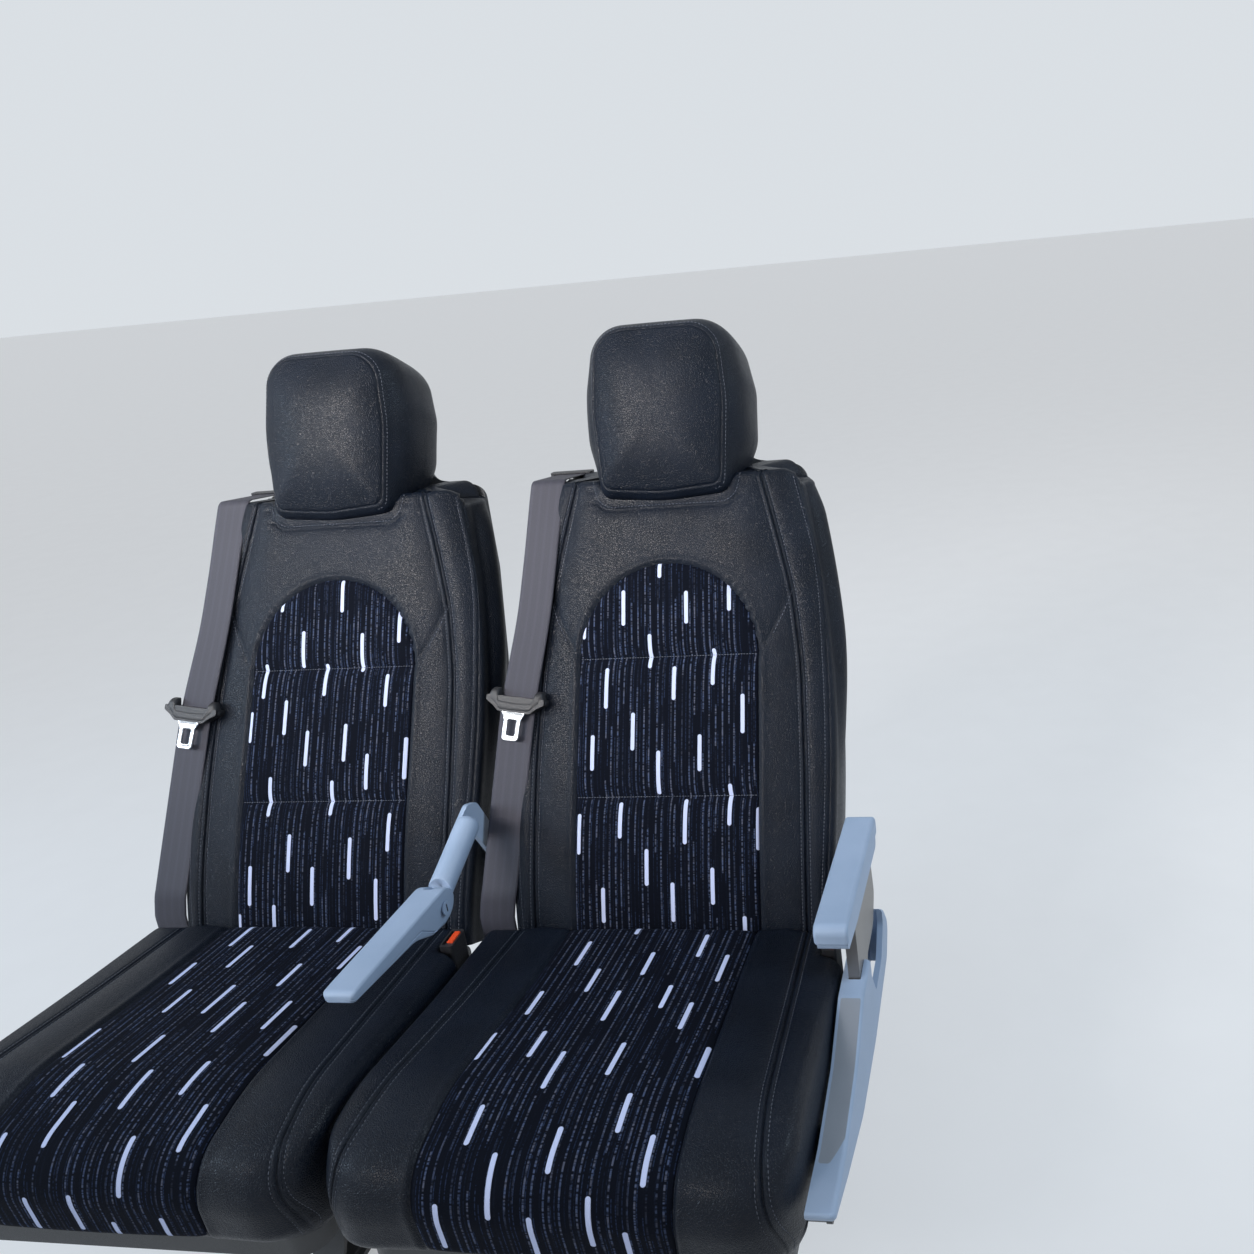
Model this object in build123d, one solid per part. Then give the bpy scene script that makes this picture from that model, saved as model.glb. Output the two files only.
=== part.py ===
from build123d import *
from math import cos, radians, sin, tan
import os

# Twin passenger seat of a touring coach, in millimetres.
# The seat faces -Y, the aisle is on the +X side, and the floor is at Z = 0.
# The origin is the centre of the four floor bolts.

# Seating layout
seat_spacing = 475.0        # centre to centre of the two seats
seat_height = 430.0         # cushion top where it meets the backrest
back_lean = 25.0            # backrest upright position, degrees behind vertical
soft_gap = 6.0              # running gap between cushion and backrest
seat_gap = 0.3              # gap where a soft piece lies on a hard one
pin_clearance = 0.05        # a pin in its hole

# Cushion
cushion_width = 450.0
cushion_front = 405.0       # front of the cushion, ahead of the seat line
cushion_crest = 32.0        # rise of the front crest over the seat line
cushion_depth = 88.0        # seat line down to the underside
cushion_nose = 22.0         # the front face starts this far under the crest
cushion_tuck = 12.0         # its foot stands back this far
cushion_edge = 20.0         # rounding of the side edges
cushion_corner = 52.0       # rounding of the front corners, seen from above

# Backrest, in its own leaning frame: along = up the back, behind = towards the rear
back_bottom = -25.0
shoulder_height = 512.0     # level top of the shoulders above the seat line
pad_depth = 92.0            # front plane to rear face of the upholstered pad
corner_r = 18.0
crown_r = 60.0
rear_corner_r = 14.0
crown_share = 0.62          # the flat middle's share of the width
shell_depth = 14.0
shell_inset = 4.0           # rear shell stands in from the pad's side
shell_neck = 28.0           # height of its step up to the headrest's tongue

# Headrest
head_rise = 44.0            # its foot, above the shoulder height
head_height = 212.0
head_width = 256.0
head_base_width = 168.0
head_crown_width = 150.0
head_waist = 0.38           # its widest place, as a share of its height
head_front = 30.0           # front of the headrest ahead of the back's front plane
head_depth = 112.0
head_edge = 24.0

# Recline hinge
hinge_y = 35.0
hinge_drop = 72.0           # pin below the seat line
hinge_pin_r = 6.0
lug_offset = 165.0          # lug centre from the seat centre
lug_thickness = 8.0
lug_width = 26.0
lug_reach = 72.0            # how far the lug runs up inside the pad
lug_r = 16.0
lug_behind = 30.0           # lug centre ahead of the pad's rear face
ear_thickness = 5.0
ear_gap = 1.0
ear_r = 17.0

# Seat frame
tube_r = 20.0
tube_wall = 3.0
front_tube_y = -260.0
rear_tube_y = 5.0
tube_window_end = 250.0     # tube end on the window side, from that seat's centre
tube_front_left = 430.0     # the front tube's window end, from the middle
pan_height = 25.7
pan_thickness = 4.0
pan_side_inset = 12.0
pan_front_inset = 30.0
pan_rear = -70.0
pan_corner = 30.0

# Floor legs
leg_thickness = 6.0
leg_flange = 44.0
saddle_reach = 14.0         # saddle round a tube stands out this far
foot_width = 60.0
foot_thickness = 8.0
foot_length = 440.0
foot_corner = 14.0
bolt_spacing_y = 380.0
bolt_hole_r = 5.5

# Aisle side panel
panel_gap = 9.0             # cushion side to the panel
panel_thickness = 28.0
panel_edge = 5.0
notch_depth = 50.0          # the outer wall beside the armrest's fin drops by this much
bracket_thickness = 6.0     # plates between the cross tubes and the panel
inset_depth = 3.0
inset_margin = 3.0          # rim between the inset and the panel's sides

# Armrests
arm_width = 36.0
arm_pivot_y = -103.0
arm_pivot_rise = 100.0      # pivot above the seat line
arm_boss_r = 23.0
arm_front = 286.0           # front end of the centre armrest ahead of the seat line
arm_front_rise = 4.0        # its top climbs this much towards the front
tongue_width = 14.0
tongue_gap = 0.5
tongue_r = 18.0
arm_pin_r = 5.0
screw_head_r = 8.0
screw_head = 1.5
stalk_r = 13.0
stalk_x = -4.0              # stalk and centre armrest stand a little towards the window
stalk_rise = 27.0           # degrees, from the pivot back to its end
stalk_start = 36.0          # full round section begins this far from the pivot
stalk_length = 196.0        # from the pivot to the end of the round section
blade_thickness = 6.0
blade_x = -15.0             # upright blade between the two backrests
aisle_arm_front = 203.0
aisle_arm_rear = 46.0
aisle_arm_rise = 146.0      # its front top above the seat line
aisle_arm_slope = 15.0      # its rear end lies this much lower
aisle_pad_front = 22.0      # pad thickness at its two ends
aisle_pad_rear = 26.0
aisle_shell_depth = 20.0
aisle_arm_drop = 65.0       # how far the aisle armrest slides down
fin_thickness = 13.0
fin_front = 100.0           # front edge of the armrest's fin, ahead of the seat line
fin_rear = 50.0
blade_reach = 25.0          # the blade's foot below the seat line
blade_rear = 42.0           # rear edge of the fin's lower blade, ahead of the seat line
slot_gap = 1.5              # play in front of and behind the fin in its channel
runner_gap = 0.4            # running gap on each side of it
rivet_r = 3.0
rivet_head = 1.0

# Three-point belts
belt_width = 48.0
belt_thickness = 1.6
belt_front = 0.5            # the belt's rear face, behind the back's front plane
belt_tilt = 8.0             # slider and tongue hang at this angle, degrees
belt_rear = 84.0            # the strap's end at the rear of the shoulder
belt_lift = 1.0             # strap over the shoulder's top
strap_end = 40.0            # the strap's foot, up the back
strap_bend = 5.0
slider_along = 282.0
slider_width = 80.0
slider_depth = 16.5
guide_width = 62.0
guide_depth = 14.0
guide_height = 5.0
buckle_x = 214.0            # buckle centre from the seat centre
buckle_y = -48.0
buckle_width = 36.0         # front to back
buckle_thickness = 17.0
buckle_height = 66.0
buckle_rise = 19.0          # buckle top above the seat line
buckle_wall = 2.0
latch_slot = 4.4            # mouth for the latch tongue
latch_slot_width = 27.0
latch_plate = 2.5
stem_thickness = 3.0
button_width = 21.0
button_thickness = 7.0
button_height = 14.0
button_lift = 2.0           # button top above the buckle's
notch_gap = 2.0             # cushion cut-out around the buckle
anchor_x = -232.0           # belt's lower end from the seat centre
anchor_y = 14.0
anchor_height = 52.0        # anchor plate above the rear tube
anchor_plate = 5.0
anchor_overlap = 12.0       # webbing inside the anchor plate

# Levels that follow from the seat height
cushion_base = seat_height - cushion_depth
hinge_z = seat_height - hinge_drop
tube_z = cushion_base - seat_gap - pan_height - tube_r
arm_pivot_z = seat_height + arm_pivot_rise
aisle_arm_height = seat_height + aisle_arm_rise
buckle_top = seat_height + buckle_rise
head_bottom = shoulder_height + head_rise
head_top = head_bottom + head_height
far = 1000.0                # more than any piece reaches

# The two seats, by name and centre
seats = [("window", -seat_spacing / 2), ("aisle", seat_spacing / 2)]

nodes = {}


def side_solid(points, radii, width, centre_x=0.0):
    """Extrude a rounded side outline, given as (y, z) points, evenly about centre_x."""
    outline = make_face(FilletPolyline(points, radius=radii, close=True))
    return Pos(centre_x, 0, 0) * extrude(Plane.YZ * outline, amount=width / 2, both=True)


def front_solid(points, radii, near, rear):
    """Extrude a rounded front outline, given as (x, z) points, from y = near to y = rear."""
    outline = make_face(FilletPolyline(points, radius=radii, close=True))
    return Pos(0, rear, 0) * extrude(Plane.XZ * outline, amount=rear - near)


def plan_solid(points, radii, low, high):
    """Extrude a rounded outline seen from above, given as (x, y) points."""
    outline = make_face(FilletPolyline(points, radius=radii, close=True))
    return Pos(0, 0, low) * extrude(outline, amount=high - low)


def on_back(shape, centre_x):
    """Place a shape drawn in the backrest's frame on the seat at centre_x."""
    return Pos(centre_x, 0, seat_height) * Rot(X=-back_lean) * shape


def cylinder_x(radius, length, x, y, z):
    """Cylinder along X, centred on a point."""
    return Pos(x, y, z) * Rot(Y=90) * Cylinder(radius, length)


def make_cushion(centre_x):
    """Cushion: waterfall front, rounded front corners, soft edges, cut-out for the buckle."""
    crest = seat_height + cushion_crest
    lean_back = cushion_depth * tan(radians(back_lean))
    points = [
        (-soft_gap, seat_height),
        (-cushion_front * 0.75, crest),
        (-cushion_front, crest - cushion_nose),
        (-cushion_front + cushion_tuck, cushion_base),
        (-soft_gap - lean_back, cushion_base),
    ]
    edge = cushion_edge
    body = side_solid(points, [1.2 * edge, 10 * edge, 2.3 * edge, 1.6 * edge, 1.3 * edge], cushion_width)
    half = cushion_width / 2
    plan = [(-half, -cushion_front), (half, -cushion_front), (half, soft_gap), (-half, soft_gap)]
    radii = [cushion_corner, cushion_corner, seat_gap, seat_gap]
    body = body & plan_solid(plan, radii, 0, crest + far)
    sides = body.faces().filter_by(Axis.X)
    body = fillet(sides.edges(), edge)
    notch_inner = buckle_x - buckle_thickness / 2 - notch_gap
    notch_front = buckle_y - buckle_width / 2 - notch_gap
    size = cushion_width
    notch = Pos(notch_inner + size / 2, notch_front + size / 2, seat_height) * Box(size, size, size)
    body = body - fillet(notch.edges().filter_by(Axis.Z), 3 * notch_gap)
    return Pos(centre_x, 0, 0) * body


# Backrest pad: sections up the back, from the seat line to above the shoulders
back_sections = [
    # along, half width, front of the centre, how far the side corners stand behind it
    (back_bottom, 206.0, 2.0, 12.0),
    (0.31 * shoulder_height, 216.0, -8.0, 16.0),
    (0.68 * shoulder_height, 213.0, 4.0, 22.0),
    (0.94 * shoulder_height, 197.0, 2.0, 28.0),
    (1.25 * shoulder_height, 164.0, -10.0, 36.0),
]


def back_section(along, half_width, front, side_step, depth):
    """One closed section across the back, seen from above the leaning frame."""
    crown = half_width * crown_share
    points = [
        (-half_width, depth),
        (-half_width, front + side_step),
        (-crown, front),
        (crown, front),
        (half_width, front + side_step),
        (half_width, depth),
    ]
    radii = [rear_corner_r, corner_r, crown_r, crown_r, corner_r, rear_corner_r]
    return Pos(0, 0, along) * make_face(FilletPolyline(points, radius=radii, close=True))


def above_shoulders():
    """Everything above the level cut across the shoulders, in the backrest's frame."""
    block = Pos(0, 0, far / 2) * Box(far, 2 * far, far)
    return Rot(X=back_lean) * Pos(0, 0, shoulder_height) * block


def head_outline(grow):
    """Rounded trapezoid of the headrest's front, widest a third of the way up."""
    waist = head_bottom + head_height * head_waist
    points = [
        (-head_base_width / 2 - grow, head_bottom - grow),
        (head_base_width / 2 + grow, head_bottom - grow),
        (head_width / 2 + grow, waist),
        (head_crown_width / 2 + grow, head_top + grow),
        (-head_crown_width / 2 - grow, head_top + grow),
        (-head_width / 2 - grow, waist),
    ]
    foot_r = 0.22 * head_height
    side_r = 0.52 * head_height
    crown_corner = 0.27 * head_height
    return points, [foot_r, foot_r, side_r, crown_corner, crown_corner, side_r]


def make_back_pad(centre_x):
    pad = loft([back_section(*row, pad_depth) for row in back_sections])
    pad = pad - above_shoulders()
    points, radii = head_outline(seat_gap)
    pad = pad - front_solid(points, radii, -pad_depth, 2 * pad_depth)
    for side in (-1, 1):
        slot = Pos(side * lug_offset, pad_depth - lug_behind, back_bottom + lug_reach / 2)
        slot = slot * Box(lug_thickness + 2 * seat_gap, lug_width + 2 * seat_gap, lug_reach + 2 * seat_gap)
        pad = pad - slot
    return on_back(pad, centre_x)


def make_headrest(centre_x):
    points, radii = head_outline(0)
    head = front_solid(points, radii, -head_front, head_depth - head_front)
    ends = head.faces().filter_by(Axis.Y)
    head = fillet(ends.edges(), head_edge)
    return on_back(head, centre_x)


def make_back_shell(centre_x):
    """Rear shell: a moulded board over the whole rear, with a tongue behind the headrest."""
    half = [(row[1] - shell_inset, row[0]) for row in back_sections]
    tongue_half = head_crown_width / 2
    step_low = head_bottom + head_rise
    step_high = step_low + shell_neck / 2
    right = half[:4] + [
        (half[3][0] - 0.9 * shell_neck, step_low),
        (tongue_half + shell_neck / 3, step_high),
        (tongue_half, head_bottom + 0.72 * head_height),
    ]
    left = [(-x, z) for x, z in reversed(right)]
    bend = 0.14 * head_height
    radii = [bend, 4 * bend, 6 * bend, 4 * bend, shell_neck * 0.85, bend, bend]
    shell = front_solid(right + left, radii + radii[::-1], pad_depth, pad_depth + shell_depth)
    rear = shell.faces().sort_by(Axis.Y)[-1]
    shell = fillet(rear.edges(), shell_depth * 0.6)
    return on_back(shell, centre_x)


def make_back_lugs(centre_x):
    """Recline lugs: two steel plates on each backrest, turning on the frame's pins."""
    lugs = []
    lean = radians(back_lean)
    low = hinge_y * sin(lean) - hinge_drop * cos(lean)
    high = back_bottom + lug_reach
    for side in (-1, 1):
        x = centre_x + side * lug_offset
        plate = Pos(side * lug_offset, pad_depth - lug_behind, (low + high) / 2)
        plate = on_back(plate * Box(lug_thickness, lug_width, high - low), centre_x)
        lug = plate + cylinder_x(lug_r, lug_thickness, x, hinge_y, hinge_z)
        lug = lug - cylinder_x(hinge_pin_r + pin_clearance, 2 * lug_thickness, x, hinge_y, hinge_z)
        lugs.append(lug)
    return Compound(lugs)


def make_hinge_brackets(centre_x):
    """Hinge brackets: pairs of ears standing on the rear tube, with the hinge pin."""
    brackets = []
    ear_x = lug_thickness / 2 + ear_gap + ear_thickness / 2
    foot = tube_r * 1.3
    points = [
        (rear_tube_y - foot, tube_z),
        (rear_tube_y + foot, tube_z),
        (hinge_y + ear_r, hinge_z + ear_r),
        (hinge_y - ear_r, hinge_z + ear_r),
    ]
    tip = ear_r - 1
    for side in (-1, 1):
        x = centre_x + side * lug_offset
        bracket = cylinder_x(hinge_pin_r, 2 * ear_x + ear_thickness, x, hinge_y, hinge_z)
        for ear_side in (-1, 1):
            bracket += side_solid(points, [ear_gap, ear_gap, tip, tip], ear_thickness, x + ear_side * ear_x)
        bracket -= cylinder_x(tube_r, 10 * lug_thickness, x, rear_tube_y, tube_z)
        brackets.append(bracket)
    return Compound(brackets)


# Frame tubes: the rear one runs on to the aisle side panel and the window belt anchor
panel_inner = seats[1][1] + cushion_width / 2 + panel_gap
tube_left = seats[0][1] - tube_window_end
tube_right = panel_inner - bracket_thickness


def make_tube(y, left, right):
    middle = (left + right) / 2
    outer = cylinder_x(tube_r, right - left, middle, y, tube_z)
    return outer - cylinder_x(tube_r - tube_wall, 2 * (right - left), middle, y, tube_z)


def make_panel_brackets():
    """Plates on the ends of the cross tubes that carry the side panel."""
    plates = []
    top = seat_height - notch_depth
    for y in (front_tube_y, rear_tube_y):
        reach = 0.9 * tube_r
        points = [
            (y - reach, tube_z - reach),
            (y + reach, tube_z - reach),
            (y + 0.7 * reach, top),
            (y - 0.7 * reach, top),
        ]
        middle = panel_inner - bracket_thickness / 2
        plates.append(side_solid(points, [reach / 2] * 4, bracket_thickness, middle))
    return Compound(plates)


def make_pan(centre_x):
    """Seat pan: a pressed tray with a turned-down lip and ribs, resting on the tubes."""
    width = cushion_width - 2 * pan_side_inset
    front = -cushion_front + pan_front_inset
    length = pan_rear - front
    middle = (pan_rear + front) / 2
    top = cushion_base - seat_gap
    tray = Pos(0, middle, top - pan_height / 2) * Box(width, length, pan_height)
    tray = fillet(tray.edges().filter_by(Axis.Z), pan_corner)
    wall = pan_thickness
    hollow = Pos(0, middle, top - wall - pan_height / 2)
    hollow = hollow * Box(width - 2 * wall, length - 2 * wall, pan_height)
    tray = tray - fillet(hollow.edges().filter_by(Axis.Z), pan_corner - wall)
    for x in (-width / 4, 0, width / 4):
        rib = Pos(x, middle, top - pan_height / 2) * Box(wall, length - wall, pan_height)
        tray = tray + rib
    return Pos(centre_x, 0, 0) * tray


def make_leg(centre_x):
    """Leg: a pressed plate with a flange round the edge, a foot and two floor bolts."""
    reach = tube_r + saddle_reach
    under = tube_z - 2.2 * tube_r
    low = tube_z - 0.4 * tube_r
    waist = 0.3 * tube_z
    outline = [
        (front_tube_y - reach, low),
        (front_tube_y - reach, under),
        (0.25 * bolt_spacing_y - bolt_spacing_y / 2, 0.8 * waist),
        (-foot_length / 2 + foot_width, foot_thickness),
        (foot_length / 2 - 1.5 * foot_width, foot_thickness),
        (0.21 * bolt_spacing_y, waist),
        (rear_tube_y + reach, under),
        (rear_tube_y + reach, low),
    ]
    bend = leg_flange / 2
    radii = [4, bend, 3 * bend, 8, 8, 3 * bend, bend, 4]
    gap_top = tube_z - tube_r - saddle_reach
    gap_half = 0.7 * leg_flange
    inner = [
        (front_tube_y + gap_half, gap_top),
        (-2.5 * gap_half, 1.1 * waist),
        (-gap_half, 0.7 * waist),
        (gap_half, 0.7 * waist),
        (1.5 * gap_half, 1.25 * waist),
        (rear_tube_y - saddle_reach / 2, gap_top),
    ]
    web = side_solid(outline, radii, leg_thickness, centre_x)
    rim = side_solid(outline, radii, leg_flange, centre_x)
    shrunk = offset(make_face(FilletPolyline(outline, radius=radii, close=True)), -leg_thickness)
    rim = rim - Pos(centre_x, 0, 0) * extrude(Plane.YZ * shrunk, amount=leg_flange, both=True)
    hole = side_solid(inner, [bend, bend, bend, bend, bend, bend], 2 * leg_flange, centre_x)
    foot = Pos(centre_x, 0, foot_thickness / 2) * Box(foot_width, foot_length, foot_thickness)
    foot = fillet(foot.edges().filter_by(Axis.Z), foot_corner)
    leg = web - hole + rim + foot
    depth = 2 * saddle_reach
    for y in (front_tube_y, rear_tube_y):
        saddle = Pos(centre_x, y, tube_z - 0.4 * tube_r) * Box(leg_flange, 2 * tube_r + depth, depth)
        leg = leg + saddle
    for y in (front_tube_y, rear_tube_y):
        leg = leg - cylinder_x(tube_r, 2 * leg_flange, centre_x, y, tube_z)
    for y in (-bolt_spacing_y / 2, bolt_spacing_y / 2):
        leg = leg - Pos(centre_x, y, 0) * Cylinder(bolt_hole_r, 8 * foot_thickness)
    return leg


# Aisle side panel: a moulded shroud beside the cushion, with a long dark inset on its top
panel_x = panel_inner + panel_thickness / 2
panel_profile = [
    # y, height over the seat line, rounding
    (-378.0, -27.0, 3.0),
    (-300.0, -31.0, 60.0),
    (-205.0, -20.0, 90.0),
    (-132.0, 8.0, 30.0),
    (30.0, 8.0, 30.0),
    (68.0, -18.0, 24.0),
    (94.0, -52.0, 20.0),
    (58.0, -84.0, 30.0),
    (-81.0, -94.0, 120.0),
    (-200.0, -88.0, 120.0),
    (-300.0, -62.0, 100.0),
    (-370.0, -40.0, 10.0),
]
panel_outline = [(y, seat_height + rise) for y, rise, r in panel_profile]
panel_radii = [r for y, rise, r in panel_profile]
channel_width = fin_thickness + 2 * runner_gap
inset_rear = -132.0
inset_front = -316.0
inset_chamfer = 30.0        # its outer front corner is cut off over this length


def panel_block():
    return side_solid(panel_outline, panel_radii, panel_thickness, panel_x)


def make_panel_inset():
    """The dark inset: a skin under the panel's top, narrowing at its front end."""
    near = panel_x - panel_thickness / 2 + inset_margin
    outer = panel_x + panel_thickness / 2 - inset_margin
    cut = (outer - near) / 2
    plan = [
        (near, inset_rear),
        (outer, inset_rear),
        (outer, inset_front + inset_chamfer),
        (outer - cut, inset_front),
        (near, inset_front),
    ]
    skin = panel_block() - Pos(0, 0, -inset_depth) * panel_block()
    return skin & plan_solid(plan, [2, 2, 6, 4, 3], 0, far)


def make_side_panel():
    panel = panel_block()
    outer = panel.faces().sort_by(Axis.X)[-1]
    panel = fillet(outer.edges(), panel_edge)
    panel = panel - make_panel_inset()
    front = -fin_front - slot_gap
    rear = fin_rear + 2 * slot_gap
    channel = Pos(panel_x, (front + rear) / 2, seat_height) * Box(channel_width, rear - front, far)
    wall = (panel_thickness - channel_width) / 2
    notch_front = -fin_front + 1.2 * panel_thickness
    notch_rear = fin_rear - slot_gap
    notch = [
        (notch_front, far),
        (notch_front, seat_height - 14),
        (notch_front + 20, seat_height - notch_depth),
        (notch_rear - 36, seat_height - notch_depth),
        (notch_rear, seat_height - notch_depth / 2),
        (notch_rear, far),
    ]
    notch_x = panel_x + panel_thickness / 2
    notch = side_solid(notch, [1, 8, 12, 20, 10, 1], 2 * wall + slot_gap, notch_x)
    return panel - channel - notch


# Aisle armrest: padded bar on a flat fin that slides down in the side panel
arm_x = panel_x
aisle_rear_height = aisle_arm_height - aisle_arm_slope
aisle_arm_points = [
    (-aisle_arm_front, aisle_arm_height),
    (-aisle_arm_front + 2, aisle_arm_height - aisle_pad_front),
    (aisle_arm_rear - 2, aisle_rear_height - aisle_pad_rear),
    (aisle_arm_rear, aisle_rear_height),
]


def make_aisle_arm_pad():
    pad = side_solid(aisle_arm_points, [10, 4, 4, 12], arm_width, arm_x)
    top = pad.faces().sort_by(Axis.Z)[-1]
    return fillet(top.edges().filter_by(Axis.Y, reverse=True), 4)


def make_aisle_arm_shell():
    """Lower shell under the pad, closed round the top of the fin."""
    front_low = aisle_arm_height - aisle_pad_front - aisle_shell_depth
    rear_low = aisle_rear_height - aisle_pad_rear - aisle_shell_depth * 0.7
    points = [
        (-aisle_arm_front + 5, aisle_arm_height - aisle_pad_front / 2),
        (-aisle_arm_front + 9, front_low + aisle_shell_depth * 0.5),
        (-fin_front - 30, front_low),
        (aisle_arm_rear - 6, rear_low),
        (aisle_arm_rear - 4, aisle_rear_height - aisle_pad_rear / 2),
    ]
    shell = side_solid(points, [2, 8, 40, 8, 2], arm_width - 4, arm_x)
    return shell - make_aisle_arm_pad() - make_aisle_arm_fin()


def make_aisle_arm_fin():
    """The fin hangs from the armrest: wide above, a narrow blade in the panel's channel."""
    under = aisle_arm_height - aisle_pad_front
    blade_foot = seat_height - blade_reach
    points = [
        (-fin_front, under),
        (-fin_front, blade_foot),
        (-blade_rear, blade_foot),
        (-blade_rear, seat_height - soft_gap),
        (fin_rear * 0.4, seat_height - soft_gap),
        (fin_rear, seat_height + fin_rear * 0.4),
        (fin_rear - 2 * soft_gap, under - aisle_arm_slope),
    ]
    fin = side_solid(points, [1, 4, 4, 10, 24, 20, 4], fin_thickness, arm_x)
    fin = fin - make_aisle_arm_pad()
    rivet_z = aisle_arm_height - aisle_pad_front - aisle_shell_depth - 4 * rivet_r
    for rivet_y in (-0.86 * fin_front, -0.5 * fin_front, 0.3 * fin_rear):
        x = arm_x + fin_thickness / 2
        fin = fin + cylinder_x(rivet_r, 2 * rivet_head, x, rivet_y, rivet_z)
    return fin


# Centre armrest: a slim bar with a round boss at the rear, forked over the stalk's tongue
def arm_side(width):
    top = arm_pivot_z + arm_boss_r
    points = [
        (arm_pivot_y, top),
        (-arm_front + 20, top + arm_front_rise),
        (-arm_front, top + arm_front_rise - 3),
        (-arm_front, top - 11),
        (-arm_front + 26, top - 14),
        (arm_pivot_y - 2.7 * arm_boss_r, top - 24),
        (arm_pivot_y - 1.13 * arm_boss_r, arm_pivot_z - arm_boss_r + 4),
        (arm_pivot_y, arm_pivot_z - arm_boss_r),
    ]
    bar = side_solid(points, [1, 30, 6, 5, 20, 60, 16, 1], width, stalk_x)
    return bar + cylinder_x(arm_boss_r, width, stalk_x, arm_pivot_y, arm_pivot_z)


def below_split():
    """The armrest's lower shell lies under this slanting line."""
    line = arm_pivot_z + arm_boss_r
    low = line - 4 * arm_boss_r
    points = [
        (-arm_front - 20, line - 6),
        (arm_pivot_y - 50, line - 19),
        (arm_pivot_y - 22, line - 40),
        (arm_pivot_y - 22, low),
        (-arm_front - 20, low),
    ]
    return side_solid(points, [0.5, 40, 2, 0.5, 0.5], 3 * arm_width, stalk_x)


def fork_slot():
    width = tongue_width + 2 * tongue_gap
    length = 2 * tongue_r + arm_boss_r + 7
    return Pos(stalk_x, arm_pivot_y + tongue_r / 3, arm_pivot_z) * Box(width, length, 4 * arm_boss_r)


def make_centre_arm_cover():
    bar = arm_side(arm_width) - below_split() - fork_slot()
    return bar - cylinder_x(arm_pin_r, 2 * arm_width, stalk_x, arm_pivot_y, arm_pivot_z)


def make_centre_arm_shell():
    return (arm_side(arm_width - 3) & below_split()) - fork_slot()


def make_centre_arm_pin():
    pin = cylinder_x(arm_pin_r, arm_width, stalk_x, arm_pivot_y, arm_pivot_z)
    for side in (-1, 1):
        head_x = stalk_x + side * (arm_width + screw_head) / 2
        pin += cylinder_x(screw_head_r, screw_head, head_x, arm_pivot_y, arm_pivot_z)
    return pin


def make_stalk():
    """Stalk: a round bar carrying the centre armrest, on a blade between the backrests."""
    turn = Rot(X=stalk_rise)
    pivot = Pos(stalk_x, arm_pivot_y, arm_pivot_z)
    length = stalk_length - stalk_start
    bar = Pos(0, stalk_start + length / 2, 0) * Rot(X=90) * Cylinder(stalk_r, length)
    bar = fillet(bar.edges().sort_by(Axis.Y)[-1], stalk_r * 0.7)
    neck_length = stalk_start + tongue_r / 2
    neck = Pos(0, neck_length / 2, 0) * Box(tongue_width, neck_length, 1.7 * stalk_r)
    tongue = turn * neck + Rot(Y=90) * Cylinder(tongue_r, tongue_width)
    bar = pivot * (turn * bar + tongue)
    bar -= cylinder_x(arm_pin_r + pin_clearance, 2 * arm_width, stalk_x, arm_pivot_y, arm_pivot_z)
    end_y = arm_pivot_y + stalk_length * cos(radians(stalk_rise))
    end_z = arm_pivot_z + stalk_length * sin(radians(stalk_rise))
    bend_z = hinge_z + 0.55 * (end_z - hinge_z)
    points = [
        (end_y - 30, end_z - 20),
        (end_y - 30, end_z - 4),
        (end_y + 22, end_z + 20),
        (end_y + 46, end_z + 10),
        (hinge_y + 78, bend_z),
        (hinge_y + 24, hinge_z - 20),
        (rear_tube_y + 28, tube_z - 14),
        (rear_tube_y + 8, tube_z - 10),
        (rear_tube_y + 14, tube_z + 10),
        (hinge_y, hinge_z - 10),
        (hinge_y + 46, bend_z),
        (end_y + 12, end_z - 16),
    ]
    radii = [2, 2, 16, 20, 60, 30, 4, 1, 1, 30, 60, 20]
    blade = side_solid(points, radii, blade_thickness, blade_x)
    return bar + blade - cylinder_x(tube_r, 10 * blade_thickness, blade_x, rear_tube_y, tube_z)


# Belt webbing: a flat strap over the window-side shoulder and down the front
strap_route = [
    # along, centre across
    (1.25 * shoulder_height, -164.0),
    (0.78 * shoulder_height, -184.0),
    (slider_along, -203.0),
    (0.0, -229.0),
]
slider_x = strap_route[2][1]


def top_of_shoulder(behind):
    return (shoulder_height + behind * sin(radians(back_lean))) / cos(radians(back_lean))


def strap_layer(lift):
    """Side area under the strap, grown by lift, in the backrest's frame."""
    front = belt_front - lift
    points = [
        (belt_rear, top_of_shoulder(belt_rear) + belt_lift + lift),
        (front, top_of_shoulder(belt_front) + belt_lift + lift),
        (front, strap_end),
        (belt_rear, strap_end),
    ]
    edge = belt_thickness / 10
    return side_solid(points, [edge, strap_bend + lift, edge, edge], far)


def strap_centre(along):
    """Centre of the strap across the back at a height along it, near the shoulder."""
    (high, x_high), (low, x_low) = strap_route[0], strap_route[1]
    return x_low + (x_high - x_low) * (along - low) / (high - low)


def make_belt(centre_x):
    half = belt_width / 2
    left = [(x - half, along) for along, x in strap_route]
    right = [(x + half, along) for along, x in reversed(strap_route)]
    edge = belt_thickness / 10
    radii = [edge, 2 * belt_width, 2 * belt_width, edge]
    outline = front_solid(left + right, radii + radii, -pad_depth, 2 * pad_depth)
    strap = (strap_layer(belt_thickness) - strap_layer(0)) & outline
    return on_back(strap, centre_x)


def hang_on_strap(shape, centre_x):
    """Place the slider or tongue, drawn round the strap's centre, where it hangs."""
    place = Pos(slider_x, belt_front, slider_along) * Rot(Y=belt_tilt)
    return on_back(place * shape, centre_x)


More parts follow.
